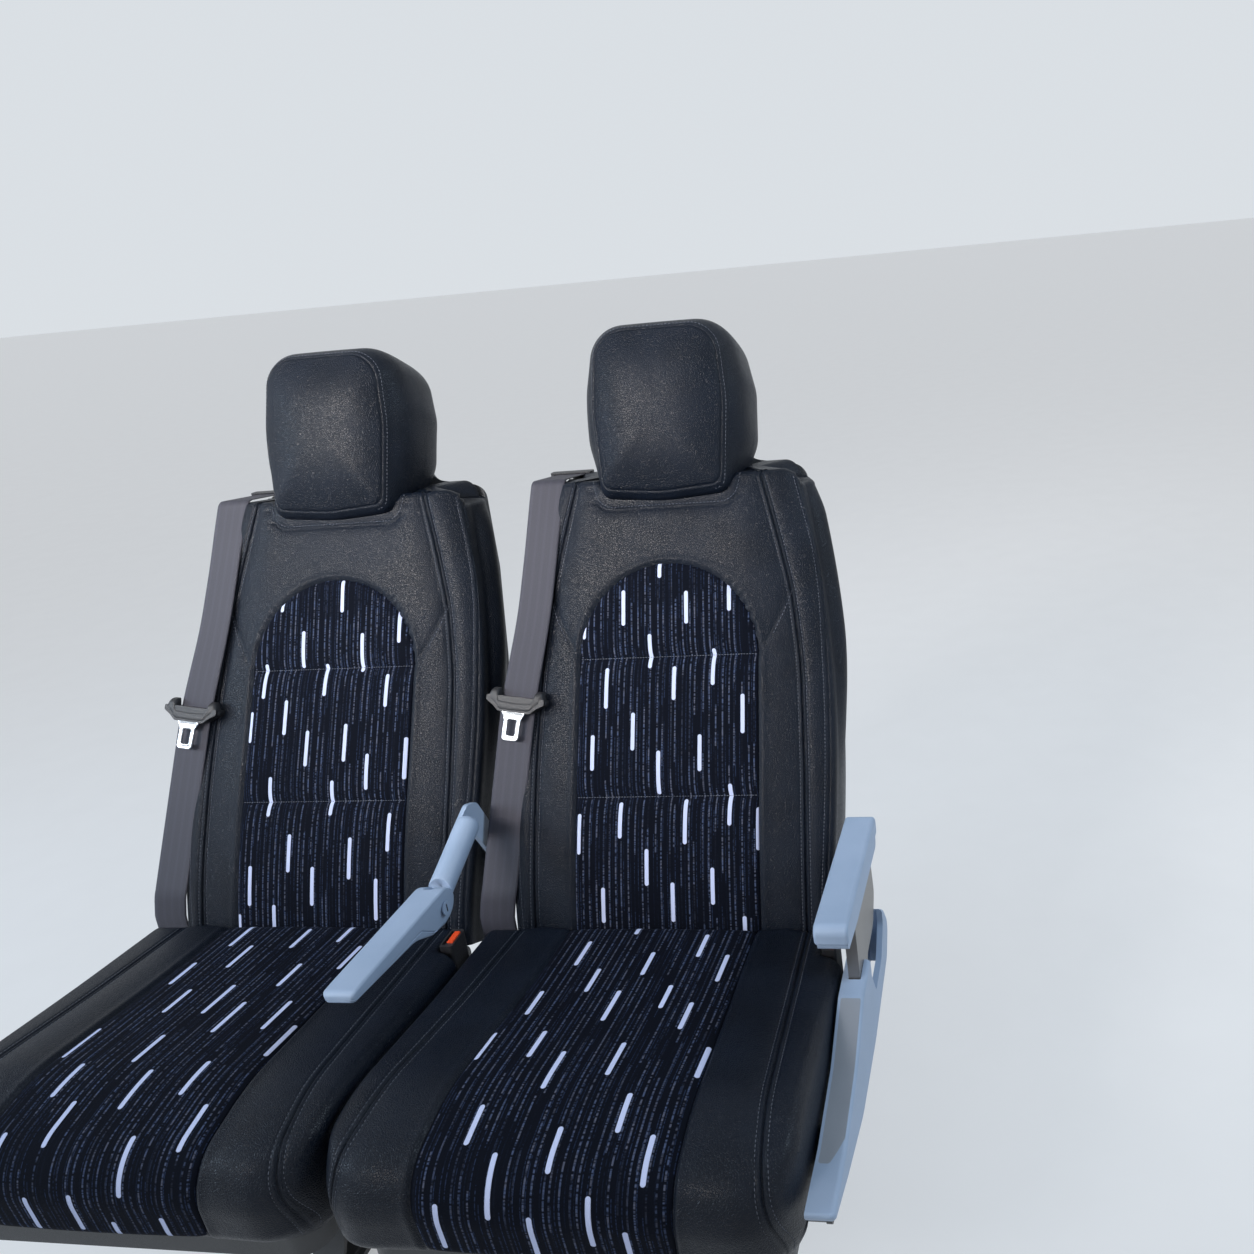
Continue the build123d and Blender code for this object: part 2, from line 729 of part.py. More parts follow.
def make_slider(centre_x):
    wing = slider_width / 2
    body_half = 0.55 * wing
    points = [
        (-wing, 9),
        (-wing, 2),
        (-0.75 * wing, -4),
        (-body_half, -11),
        (body_half, -11),
        (0.75 * wing, -4),
        (wing, 2),
        (wing, 9),
    ]
    rear = 0.27 * slider_depth
    body = front_solid(points, [2, 3, 5, 5, 5, 5, 3, 2], rear - slider_depth, rear)
    slot = Pos(0, -belt_thickness / 2, 0) * Box(belt_width + 3, belt_thickness + 0.4, slider_width)
    return hang_on_strap(body - slot, centre_x)


def make_tongue(centre_x):
    points = [(-20, -11), (-12, -22), (-12, -48), (12, -48), (12, -22), (20, -11)]
    front = -0.65 * slider_depth
    plate = front_solid(points, [0.5, 8, 5, 5, 8, 0.5], front, front + latch_plate)
    window = [(-7, -23), (-7, -41), (7, -41), (7, -23)]
    plate = plate - front_solid(window, [3, 3, 3, 3], -slider_depth, slider_depth)
    return hang_on_strap(plate, centre_x)


def make_belt_guide(centre_x):
    x = strap_centre(top_of_shoulder(belt_rear))
    block = Pos(x, 0, 0) * Box(guide_width, guide_depth, guide_height)
    slot = Pos(x, -0.3 * guide_depth, -0.6) * Box(belt_width + 4, 0.7 * guide_depth, belt_thickness + 1)
    guide = fillet(block.edges().filter_by(Axis.Z), 4) - slot
    behind = belt_rear + 2
    level = Pos(0, behind, top_of_shoulder(behind)) * Rot(X=back_lean) * Pos(0, 0, guide_height / 2)
    return on_back(level * guide, centre_x)


# Lower belt and its anchor on the rear tube, behind the cushion
anchor_top = tube_z + tube_r + anchor_height


def make_lower_belt(centre_x):
    x = centre_x + anchor_x
    low = anchor_top - anchor_overlap
    high = seat_height + soft_gap
    return Pos(x, anchor_y, (low + high) / 2) * Box(belt_width, belt_thickness, high - low)


def make_anchor(centre_x):
    x = centre_x + anchor_x
    low = tube_z + 0.4 * tube_r
    plate = Pos(x, anchor_y, (low + anchor_top) / 2)
    plate = plate * Box(belt_width + 2 * anchor_plate, anchor_plate, anchor_top - low)
    plate = fillet(plate.edges().filter_by(Axis.Y), 1.2 * anchor_plate)
    pocket_depth = anchor_overlap + 8
    pocket = Pos(x, anchor_y, anchor_top)
    pocket = pocket * Box(belt_width + 1, belt_thickness + 0.6, 2 * pocket_depth)
    plate = plate - pocket
    return plate - cylinder_x(tube_r, 2 * belt_width, x, rear_tube_y, tube_z)


# Buckle on a bent flat stem beside the cushion, with a coloured release button
def make_buckle(centre_x):
    x = centre_x + buckle_x
    middle = buckle_top - buckle_height / 2
    case = Pos(x, buckle_y, middle) * Box(buckle_thickness, buckle_width, buckle_height)
    case = fillet(case.edges().filter_by(Axis.Z), 2 * buckle_wall)
    slot_x = x - buckle_thickness / 2 + buckle_wall + latch_slot / 2
    slot = Pos(slot_x, buckle_y, buckle_top) * Box(latch_slot, latch_slot_width, buckle_height * 0.9)
    case = case - slot - make_button(centre_x)
    half = stem_thickness / 2
    foot_y = rear_tube_y - tube_r / 2
    points = [
        (buckle_y - half, middle),
        (buckle_y + half, middle),
        (buckle_y + half, cushion_base - 2 * stem_thickness),
        (foot_y, tube_z + 0.7 * tube_r),
        (foot_y, tube_z + 0.3 * tube_r),
        (buckle_y - half, cushion_base - 3 * stem_thickness),
    ]
    width = buckle_thickness - 2 * buckle_wall - 1
    bend = 2.5 * stem_thickness
    stem = side_solid(points, [0.2, 0.2, bend, 1, 1, bend], width, x)
    stem = stem - cylinder_x(tube_r, 4 * buckle_thickness, x, rear_tube_y, tube_z)
    return case + stem


def make_button(centre_x):
    x = centre_x + buckle_x + buckle_thickness / 2 - buckle_wall - button_thickness / 2
    z = buckle_top + button_lift - button_height / 2
    return Pos(x, buckle_y, z) * Box(button_thickness, button_width, button_height)


for name, centre in seats:
    nodes["cushion_" + name] = make_cushion(centre)
    nodes["back_pad_" + name] = make_back_pad(centre)
    nodes["headrest_" + name] = make_headrest(centre)
    nodes["back_shell_" + name] = make_back_shell(centre)
    nodes["recline_lugs_" + name] = make_back_lugs(centre)
    nodes["hinge_brackets_" + name] = make_hinge_brackets(centre)
    nodes["seat_pan_" + name] = make_pan(centre)
    nodes["leg_" + name] = make_leg(centre)
    nodes["belt_" + name] = make_belt(centre)
    nodes["belt_slider_" + name] = make_slider(centre)
    nodes["latch_tongue_" + name] = make_tongue(centre)
    nodes["belt_guide_" + name] = make_belt_guide(centre)
    nodes["lower_belt_" + name] = make_lower_belt(centre)
    nodes["belt_anchor_" + name] = make_anchor(centre)
    nodes["buckle_" + name] = make_buckle(centre)
    nodes["buckle_button_" + name] = make_button(centre)
nodes["front_tube"] = make_tube(front_tube_y, -tube_front_left, tube_right)
nodes["rear_tube"] = make_tube(rear_tube_y, tube_left, tube_right)
nodes["panel_brackets"] = make_panel_brackets()
nodes["side_panel"] = make_side_panel()
nodes["side_panel_inset"] = make_panel_inset()
nodes["aisle_arm_pad"] = make_aisle_arm_pad()
nodes["aisle_arm_shell"] = make_aisle_arm_shell()
nodes["aisle_arm_post"] = make_aisle_arm_fin()
nodes["centre_arm_cover"] = make_centre_arm_cover()
nodes["centre_arm_shell"] = make_centre_arm_shell()
nodes["centre_arm_pin"] = make_centre_arm_pin()
nodes["arm_stalk"] = make_stalk()

os.makedirs("parts", exist_ok=True)
for node, shape in nodes.items():
    export_step(shape, "parts/" + node + ".step")
    print(node, round(shape.volume))
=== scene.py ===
# %% [markdown]
# # A twin coach seat, dressed around its CAD frame
# The CAD model holds the sizes, the bodies and the joints of two passenger seats on one frame.
# This lesson adds what a workshop would: leather, woven inserts, stitching, webbing and
# moulded plastic. The CAD nodes stay where they are, and the soft ones are replaced by
# padded pieces of the same size.

# %% Load the CAD model
import bmesh
import bpy
import numpy as np
from mathutils import Matrix


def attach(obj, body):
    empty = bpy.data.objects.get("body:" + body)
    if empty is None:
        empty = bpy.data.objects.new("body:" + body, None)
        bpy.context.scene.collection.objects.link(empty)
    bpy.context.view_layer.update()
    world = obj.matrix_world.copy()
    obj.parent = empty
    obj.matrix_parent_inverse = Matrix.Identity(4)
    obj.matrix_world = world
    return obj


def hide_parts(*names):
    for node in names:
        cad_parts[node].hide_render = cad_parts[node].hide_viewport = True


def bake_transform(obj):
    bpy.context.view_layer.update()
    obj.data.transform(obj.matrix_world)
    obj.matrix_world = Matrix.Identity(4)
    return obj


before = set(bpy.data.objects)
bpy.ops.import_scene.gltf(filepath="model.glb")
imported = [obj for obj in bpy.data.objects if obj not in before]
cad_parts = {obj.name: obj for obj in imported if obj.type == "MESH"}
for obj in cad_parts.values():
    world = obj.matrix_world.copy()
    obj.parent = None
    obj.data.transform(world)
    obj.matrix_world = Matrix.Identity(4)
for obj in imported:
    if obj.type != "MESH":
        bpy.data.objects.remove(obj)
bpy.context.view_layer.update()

# %% [markdown]
# ## Camera
# The photograph looks down on the seat from standing height, turned and tilted a little. The
# camera could be aimed by eye, but one set from measured angles repeats exactly. Its axes come
# from three turns: yaw about the vertical, then pitch, then roll about the view itself.

# %% Camera from its measured place and angles
yaw, pitch, roll = np.radians([9.82, -16.29, 5.68])


def turn(axis, angle):
    """A turn about one axis, as a 3 x 3 matrix: cosines on the diagonal, sines off it."""
    return np.array(Matrix.Rotation(angle, 3, axis))


axes = turn("Z", yaw) @ turn("X", pitch) @ turn("Y", roll)
right, forward, up = axes.T
camera_data = bpy.data.cameras.new("camera")
camera_data.sensor_width = 36.0
camera_data.lens = 31.464
camera_data.shift_x = -0.1659
camera_data.shift_y = -0.0566
camera = bpy.data.objects.new("camera", camera_data)
camera.matrix_world = Matrix(np.column_stack([right, up, -forward]).tolist()).to_4x4()
camera.location = (0.688, -1.123, 1.234)
bpy.context.scene.collection.objects.link(camera)
bpy.context.scene.camera = camera
print("camera looks along", np.round(forward, 3))

# %% [markdown]
# ## Nodes by the handful
# Every finish below is made of shader nodes. Two small helpers keep them readable: one adds a
# node and joins its inputs, the other makes a node group with named sockets.

# %% Helpers for shader nodes
def add(tree, kind, inputs=None, **settings):
    """One shader node. An input given as a socket is linked, and anything else is its value."""
    made = tree.nodes.new("ShaderNode" + kind)
    for name, value in settings.items():
        setattr(made, name, value)
    for name, value in (inputs or {}).items():
        if isinstance(value, bpy.types.NodeSocket):
            tree.links.new(value, made.inputs[name])
        else:
            made.inputs[name].default_value = value
    return made


def calc(tree, operation, a, b=0.0, c=0.0):
    """The output of a Math node: a, b and c are sockets or numbers. Only MULTIPLY_ADD reads c."""
    inputs = {0: a, 1: b}
    if operation == "MULTIPLY_ADD":
        inputs[2] = c
    return add(tree, "Math", inputs, operation=operation).outputs[0]


def new_group(name, inputs, outputs):
    """A node group with named sockets: (name, kind, value) in, (name, kind) out."""
    tree = bpy.data.node_groups.new(name, "ShaderNodeTree")
    for label, kind, value in inputs:
        socket = tree.interface.new_socket(label, in_out="INPUT", socket_type="NodeSocket" + kind)
        if value is not None:
            socket.default_value = value
    for label, kind in outputs:
        tree.interface.new_socket(label, in_out="OUTPUT", socket_type="NodeSocket" + kind)
    return tree, tree.nodes.new("NodeGroupInput").outputs, tree.nodes.new("NodeGroupOutput").inputs


def range_map(tree, value, low, high, to_low=0.0, to_high=1.0):
    """A Map Range node: value from low..high to to_low..to_high, eased at both ends."""
    inputs = {"Value": value, "From Min": low, "From Max": high,
              "To Min": to_low, "To Max": to_high}
    return add(tree, "MapRange", inputs, interpolation_type="SMOOTHSTEP").outputs["Result"]


def mix_colour(tree, factor, a, b):
    """Colour a where factor is 0 and colour b where it is 1."""
    made = add(tree, "Mix", {0: factor}, data_type="RGBA")
    for index, value in ((6, a), (7, b)):
        if isinstance(value, bpy.types.NodeSocket):
            tree.links.new(value, made.inputs[index])
        else:
            made.inputs[index].default_value = (*value, 1.0)
    return made.outputs[2]


print("node helpers ready")

# %% [markdown]
# ## Grain, shared by leather and moulded plastic
# Grained leather is a field of small pebbles with creases between them. A Voronoi pattern gives
# the pebbles, and a little noise bends them so that no row shows. The same group, with smaller
# cells, is the spark-eroded texture of moulded plastic.

# %% The grain group
grain, gi, go = new_group(
    "grain",
    [("Vector", "Vector", None), ("Cells", "Float", 480.0), ("Drift", "Float", 14.0)],
    [("Height", "Float"), ("Patch", "Float"), ("Pebble", "Float")],
)
bend = add(grain, "TexNoise", {"Vector": gi["Vector"], "Scale": 160.0, "Detail": 2.0})
shift = add(grain, "VectorMath", {0: bend.outputs["Color"], 1: (0.0016,) * 3}, operation="MULTIPLY")
moved = add(grain, "VectorMath", {0: gi["Vector"], 1: shift.outputs[0]}, operation="ADD")
cells = add(grain, "TexVoronoi", {"Vector": moved.outputs[0], "Scale": gi["Cells"]},
            feature="DISTANCE_TO_EDGE")
crease = range_map(grain, cells.outputs["Distance"], 0.0, 0.22)
pebble = add(grain, "TexVoronoi", {"Vector": moved.outputs[0], "Scale": gi["Cells"]})
broad = add(grain, "TexNoise", {"Vector": gi["Vector"], "Scale": gi["Drift"], "Detail": 5.0})
height = calc(grain, "MULTIPLY_ADD", broad.outputs["Fac"], 0.35, crease)
grain.links.new(height, go["Height"])
grain.links.new(range_map(grain, broad.outputs["Fac"], 0.32, 0.68), go["Patch"])
grain.links.new(pebble.outputs["Color"], go["Pebble"])
print("grain group:", len(grain.nodes), "nodes")

# %% [markdown]
# ## Leather
# The hide is black; the blue cast in its colours is painted reflection of cool window light. Its gloss
# varies from pebble to pebble, which is what makes a grained surface glint. The material reads Object
# coordinates, which stay fixed to the seat, so the grain has the same size on every panel.

# %% Leather, rear moulding and plastics from one recipe
def grained(name, dark, light, rough, cells, depth, metallic=0.0, specular=0.5):
    """A grained finish: two close colours in broad patches, gloss that changes by the pebble.
    cells is how many pebbles stand in a metre, and depth is their height in metres."""
    material = bpy.data.materials.new(name)
    material.use_nodes = True
    tree = material.node_tree
    shader = tree.nodes["Principled BSDF"]
    place = add(tree, "TexCoord")
    group = add(tree, "Group", node_tree=grain)
    tree.links.new(place.outputs["Object"], group.inputs["Vector"])
    group.inputs["Cells"].default_value = cells
    colour = mix_colour(tree, group.outputs["Patch"], dark, light)
    tree.links.new(colour, shader.inputs["Base Color"])
    gloss = calc(tree, "MULTIPLY_ADD", group.outputs["Pebble"], 0.10, rough - 0.05)
    gloss = calc(tree, "MULTIPLY_ADD", group.outputs["Patch"], 0.05, gloss)
    tree.links.new(gloss, shader.inputs["Roughness"])
    bump = add(tree, "Bump", {"Height": group.outputs["Height"], "Distance": depth})
    bump.inputs["Strength"].default_value = 1.0
    tree.links.new(bump.outputs["Normal"], shader.inputs["Normal"])
    shader.inputs["Metallic"].default_value = metallic
    shader.inputs["Specular IOR Level"].default_value = specular
    return material


# Black hide: the blue cast of both colours is painted reflection of cool window light.
leather = grained("leather_black", (0.0018, 0.0042, 0.0100), (0.0036, 0.0070, 0.0150),
                  0.35, 430.0, 0.00030, specular=0.20)
shell_plastic = grained("rear_moulding", (0.050, 0.052, 0.058), (0.064, 0.066, 0.073),
                        0.55, 700.0, 0.00012)
black_plastic = grained("black_moulding", (0.014, 0.014, 0.016), (0.020, 0.020, 0.023),
                        0.42, 1500.0, 0.00005)
# The blue cast in the silver's colours is painted reflection of a blue sky.
silver = grained("silver_moulding", (0.30, 0.395, 0.54), (0.34, 0.435, 0.585),
                 0.46, 1600.0, 0.00004)
slate = grained("slate_inset", (0.26, 0.29, 0.335), (0.29, 0.32, 0.37), 0.50, 1100.0, 0.00010)
fin_steel = grained("fin_steel", (0.17, 0.165, 0.16), (0.23, 0.22, 0.215),
                    0.35, 1300.0, 0.00003, metallic=0.7)
red = grained("release_red", (0.72, 0.06, 0.012), (0.82, 0.085, 0.02), 0.35, 1800.0, 0.00002)
painted = grained("painted_steel", (0.030, 0.031, 0.033), (0.046, 0.047, 0.050),
                  0.42, 900.0, 0.00006)
steel = grained("bright_steel", (0.52, 0.54, 0.56), (0.62, 0.63, 0.65),
                0.24, 1300.0, 0.00002, metallic=1.0)
# The thread is much lighter than the black-grey thread it stands for: painted highlight on the
# stitches.
thread = grained("thread", (0.085, 0.095, 0.125), (0.15, 0.165, 0.205), 0.6, 2500.0, 0.0001)
print("grained finishes:", len(bpy.data.materials))

# %% [markdown]
# ## Woven insert
# The insert cloth is a near-black weave with broken pin stripes in grey-blue, and short bright
# dashes scattered between them. Each stripe is one warp thread, so the pattern is worked out
# column by column: a random number for the column sets its place and tone, and a second one for
# each stretch of it sets how bright that stretch is. The pattern reads the piece's own UV map,
# in metres, so that it follows the cushion round its front.

# %% The stripe group
cloth, gi, go = new_group(
    "striped_cloth",
    [("Vector", "Vector", None), ("Seed", "Float", 0.0)],
    [("Color", "Color"), ("Height", "Float")],
)
parts = add(cloth, "SeparateXYZ", {0: gi["Vector"]})
across, along = parts.outputs["X"], parts.outputs["Y"]


def hashed(tree, a, b, c):
    """A random number from 0 to 1 for each whole a, b and seed c."""
    key = add(tree, "CombineXYZ", {"X": a, "Y": b, "Z": c})
    noise = add(tree, "TexWhiteNoise", {"Vector": key.outputs[0]}, noise_dimensions="3D")
    return noise.outputs["Value"]


def thread_line(pitch, half_width, stretch, low, high, seed):
    """Broken line per column: distance from a shifted middle, times a random tone per stretch."""
    column = calc(cloth, "DIVIDE", across, pitch)
    index = calc(cloth, "FLOOR", column)
    offset = calc(cloth, "MULTIPLY_ADD", hashed(cloth, index, 3.0, seed), 0.5, 0.25)
    place = calc(cloth, "SUBTRACT", calc(cloth, "FRACT", column), offset)
    distance = calc(cloth, "ABSOLUTE", place)
    edge = range_map(cloth, calc(cloth, "MULTIPLY", distance, pitch), half_width, 0.45 * half_width)
    start = hashed(cloth, index, 8.0, seed)
    step = calc(cloth, "FLOOR", calc(cloth, "ADD", calc(cloth, "DIVIDE", along, stretch), start))
    tone = range_map(cloth, hashed(cloth, index, step, seed), low, high)
    apart = calc(cloth, "MULTIPLY", index, 7.31)
    key = add(cloth, "CombineXYZ", {"X": apart, "Y": along, "Z": seed})
    bead = add(cloth, "TexNoise", {"Vector": key.outputs[0], "Scale": 420.0, "Detail": 2.0})
    beads = range_map(cloth, bead.outputs["Fac"], 0.36, 0.60)
    return calc(cloth, "MULTIPLY", edge, calc(cloth, "MULTIPLY", tone, beads))


bold = thread_line(0.0086, 0.00125, 0.052, 0.05, 0.60, 1.0)
fine = thread_line(0.0047, 0.00072, 0.030, 0.10, 0.85, 2.0)
print("stripe layers ready")

# %% Bright dashes and the cloth's colour
DASH_PITCH, DASH_STEP = 0.0178, 0.27
column = calc(cloth, "DIVIDE", across, DASH_PITCH)
index = calc(cloth, "FLOOR", column)
spread = calc(cloth, "MULTIPLY", calc(cloth, "ADD", index, gi["Seed"]), 0.6180)
jitter = calc(cloth, "MULTIPLY", hashed(cloth, index, 5.0, gi["Seed"]), 0.16)
row = calc(cloth, "ADD", calc(cloth, "DIVIDE", along, DASH_STEP),
           calc(cloth, "ADD", spread, jitter))
local = calc(cloth, "MULTIPLY", calc(cloth, "SUBTRACT", calc(cloth, "FRACT", row), 0.5), DASH_STEP)
longer = hashed(cloth, index, calc(cloth, "FLOOR", row), 4.0)
half_length = calc(cloth, "MULTIPLY_ADD", longer, 0.007, 0.018)
past_end = calc(cloth, "SUBTRACT", calc(cloth, "ABSOLUTE", local), half_length)
beyond = calc(cloth, "MAXIMUM", past_end, 0.0)
middle = calc(cloth, "MULTIPLY_ADD", hashed(cloth, index, 6.0, gi["Seed"]), 0.36, 0.32)
from_middle = calc(cloth, "SUBTRACT", calc(cloth, "FRACT", column), middle)
sideways = calc(cloth, "MULTIPLY", from_middle, DASH_PITCH)
squares = calc(cloth, "ADD", calc(cloth, "POWER", beyond, 2.0),
               calc(cloth, "POWER", calc(cloth, "ABSOLUTE", sideways), 2.0))
reach = calc(cloth, "SQRT", squares)
dash = range_map(cloth, reach, 0.0029, 0.0022)
tint = add(cloth, "TexNoise", {"Vector": gi["Vector"], "Scale": 90.0, "Detail": 1.0})
stripe_colour = mix_colour(cloth, range_map(cloth, tint.outputs["Fac"], 0.40, 0.62),
                           (0.060, 0.082, 0.150), (0.085, 0.094, 0.135))
ground = mix_colour(cloth, fine, (0.0010, 0.0022, 0.0065), (0.017, 0.027, 0.060))
striped = mix_colour(cloth, bold, ground, stripe_colour)
cloth.links.new(mix_colour(cloth, dash, striped, (0.56, 0.62, 0.86)), go["Color"])
rib = calc(cloth, "SINE", calc(cloth, "MULTIPLY", across, 2 * np.pi / 0.0013))
pick = calc(cloth, "SINE", calc(cloth, "MULTIPLY", along, 2 * np.pi / 0.0011))
relief = calc(cloth, "MULTIPLY_ADD", calc(cloth, "MULTIPLY", rib, pick), 0.25, bold)
cloth.links.new(calc(cloth, "ADD", relief, dash), go["Height"])
print("striped cloth group:", len(cloth.nodes), "nodes")


# %% Insert materials, one arrangement of dashes for each panel
def insert_cloth(name, seed):
    """The striped cloth on a piece's UV map, matt."""
    material = bpy.data.materials.new(name)
    material.use_nodes = True
    tree = material.node_tree
    shader = tree.nodes["Principled BSDF"]
    group = add(tree, "Group", node_tree=cloth)
    group.inputs["Seed"].default_value = seed
    tree.links.new(add(tree, "UVMap", uv_map="UVMap").outputs["UV"], group.inputs["Vector"])
    tree.links.new(group.outputs["Color"], shader.inputs["Base Color"])
    bump = add(tree, "Bump", {"Height": group.outputs["Height"], "Distance": 0.0003})
    bump.inputs["Strength"].default_value = 0.7
    tree.links.new(bump.outputs["Normal"], shader.inputs["Normal"])
    shader.inputs["Roughness"].default_value = 0.85
    shader.inputs["Specular IOR Level"].default_value = 0.10
    return material


print("cloth for the", insert_cloth("insert_cloth_0", 0.0).name)

# %% [markdown]
# ## Webbing
# Seat-belt webbing is a twill with a few lengthwise bands where the warp changes. It lies on the
# strap's own UV map, with the width across and the length along, both in metres.

# %% The webbing
weave, gi, go = new_group(
    "webbing", [("Vector", "Vector", None)], [("Color", "Color"), ("Height", "Float")]
)
parts = add(weave, "SeparateXYZ", {0: gi["Vector"]})
across, along = parts.outputs["X"], parts.outputs["Y"]
diagonal = calc(weave, "ADD", across, along)
twill = calc(weave, "SINE", calc(weave, "MULTIPLY", diagonal, 2 * np.pi / 0.0021))
warp = calc(weave, "SINE", calc(weave, "MULTIPLY", across, 2 * np.pi / 0.00115))
band = calc(weave, "SINE", calc(weave, "MULTIPLY", across, 2 * np.pi / 0.0118))
bands = range_map(weave, band, 0.2, 0.9)
speck = add(weave, "TexNoise", {"Vector": gi["Vector"], "Scale": 900.0, "Detail": 2.0})
tone = calc(weave, "MULTIPLY_ADD", twill, 0.18, speck.outputs["Fac"])
tone = calc(weave, "MULTIPLY_ADD", bands, 0.09, tone)
tone = range_map(weave, tone, 0.2, 1.0)
weave.links.new(mix_colour(weave, tone, (0.023, 0.023, 0.033), (0.067, 0.066, 0.092)), go["Color"])
weave.links.new(calc(weave, "MULTIPLY_ADD", warp, 0.4, twill), go["Height"])
webbing = bpy.data.materials.new("webbing")
webbing.use_nodes = True
tree = webbing.node_tree
shader = tree.nodes["Principled BSDF"]
group = add(tree, "Group", node_tree=weave)
tree.links.new(add(tree, "UVMap", uv_map="UVMap").outputs["UV"], group.inputs["Vector"])
tree.links.new(group.outputs["Color"], shader.inputs["Base Color"])
bump = add(tree, "Bump", {"Height": group.outputs["Height"], "Strength": 0.6, "Distance": 0.0002})
tree.links.new(bump.outputs["Normal"], shader.inputs["Normal"])
shader.inputs["Roughness"].default_value = 0.6
print("webbing group:", len(weave.nodes), "nodes")

# %% [markdown]
# ## From formulas to meshes
# Each new piece is a surface worked out as whole arrays. A grid of points becomes quads, and
# where a row shrinks to a point, merging closes the pole. The sign of the enclosed volume tells
# whether the faces point outwards.

# %% Helpers for meshes
def new_piece(name, points, faces, uv=None, merge=2e-6):
    """A closed mesh object. Volume is a sixth of the sum of a . (b x c) over its triangles;
    where it is negative the faces are turned round."""
    points = np.asarray(points, float).reshape(-1, 3)
    a, b, c, d = (points[faces[:, k]] for k in range(4))
    volume = np.sum(a * np.cross(b, c)) + np.sum(a * np.cross(c, d))
    faces = faces[:, ::-1] if volume < 0 else faces
    mesh = bpy.data.meshes.new(name)
    mesh.from_pydata(points.tolist(), [], faces.tolist())
    if uv is not None:
        layer = mesh.uv_layers.new(name="UVMap")
        layer.data.foreach_set("uv", np.asarray(uv, float).reshape(-1, 2)[faces.ravel()].ravel())
    mesh.polygons.foreach_set("use_smooth", np.ones(len(faces), bool))
    bm = bmesh.new()
    bm.from_mesh(mesh)
    bmesh.ops.remove_doubles(bm, verts=bm.verts, dist=merge)
    bmesh.ops.dissolve_degenerate(bm, edges=bm.edges, dist=merge / 4)
    open_edges = sum(not e.is_manifold for e in bm.edges)
    bm.to_mesh(mesh)
    bm.free()
    piece = bpy.data.objects.new(name, mesh)
    bpy.context.scene.collection.objects.link(piece)
    print(f"{name}: {len(mesh.polygons)} faces, {open_edges} open edges")
    return piece


def grid_faces(rows, columns, wrap):
    """Quads between neighbours of a grid; wrap joins the last column to the first."""
    i = np.arange(rows - 1)[:, None] * columns
    j = np.arange(columns if wrap else columns - 1)[None, :]
    k = (j + 1) % columns
    return np.stack([i + j, i + k, i + columns + k, i + columns + j], -1).reshape(-1, 4)


def finish(piece, material, body):
    """Gives a piece its material and the body it rides on."""
    piece.data.materials.append(material)
    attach(piece, body)
    return piece


def unit(v):
    """Vectors divided by their length."""
    return v / np.maximum(np.linalg.norm(v, axis=-1, keepdims=True), 1e-12)


def resample(line, count, closed=False):
    """Points at even steps of length along a line."""
    line = np.vstack([line, line[:1]]) if closed else line
    length = np.r_[0, np.cumsum(np.linalg.norm(np.diff(line, axis=0), axis=1))]
    at = np.linspace(0, length[-1], count + closed)[: count]
    return np.column_stack([np.interp(at, length, line[:, k]) for k in range(line.shape[1])])


def rounded(points, radii, closed=True):
    """A polygon with its corners turned into arcs. An arc touches its two runs at
    radius / tan(half the inner angle) from the corner, at most half the shorter run."""
    p = np.array(points, float)
    runs = []
    for i, radius in enumerate(radii):
        if not closed and i in (0, len(p) - 1):
            runs.append(p[i : i + 1])
            continue
        to_a, to_c = p[i - 1] - p[i], p[(i + 1) % len(p)] - p[i]
        length_a, length_c = np.linalg.norm(to_a), np.linalg.norm(to_c)
        to_a, to_c = to_a / length_a, to_c / length_c
        half = np.arccos(np.clip(to_a @ to_c, -1, 1)) / 2
        reach = min(radius / np.tan(half), 0.499 * length_a, 0.499 * length_c)
        radius = reach * np.tan(half)
        centre = p[i] + unit(to_a + to_c) * radius / np.sin(half)
        start, end = p[i] + to_a * reach - centre, p[i] + to_c * reach - centre
        angle = np.pi - 2 * half
        t = np.linspace(0, 1, 17)[:, None]
        arc = np.sin((1 - t) * angle) * start + np.sin(t * angle) * end
        runs.append(centre + arc / np.sin(angle))
    return np.vstack(runs)


def smooth(x, low, high):
    """0 below low, 1 above high, and an S-shaped step between."""
    t = np.clip((x - low) / (high - low), 0, 1)
    return t * t * (3 - 2 * t)


print("mesh helpers ready")

# %% [markdown]
# ## The leaning backrest's own frame
# A backrest is easiest to draw standing up: x across, along up the back and behind towards the
# rear, in millimetres. One function then leans it back by 25 degrees from the seat line.

# %% From the backrest's frame to the room
SEATS = {"window": -237.5, "aisle": 237.5}
SEAT_LINE = 430.0
LEAN = np.radians(25.0)


def from_back(x, along, behind, centre):
    """Lean: y = behind cos + along sin, z = seat line - behind sin + along cos. In metres."""
    y = behind * np.cos(LEAN) + along * np.sin(LEAN)
    z = SEAT_LINE - behind * np.sin(LEAN) + along * np.cos(LEAN)
    return np.stack([x + centre, y, z], -1) / 1000.0


SECTION_ALONG = np.array([-25.0, 159.0, 348.0, 481.0, 640.0])


def section_value(values):
    """A smooth curve through one value at each of the five section heights."""
    return np.polynomial.Polynomial.fit(SECTION_ALONG, values, 4)


half_width = section_value([206.0, 216.0, 213.0, 197.0, 164.0])
front_place = section_value([1.0, -7.0, 2.0, 1.0, -6.0])
side_step = section_value([9.0, 12.0, 15.0, 19.0, 24.0])
heights = np.linspace(-25, 600, 6)
print("half width at", heights, "is", np.round(half_width(heights), 1))

# %% [markdown]
# ## Seam lines
# A coach seat's cover is sewn from panels. On the back, one seam runs down each side about a
# third of the way in from the edge, a short one slants from it to the insert, a U-shaped one
# lies under the headrest, and one follows the outer edge. Each is a curve in (x, along). The
# cover dips at a seam, stands up in two small welts where the hide is folded under, and dips
# again along the two rows of stitches.

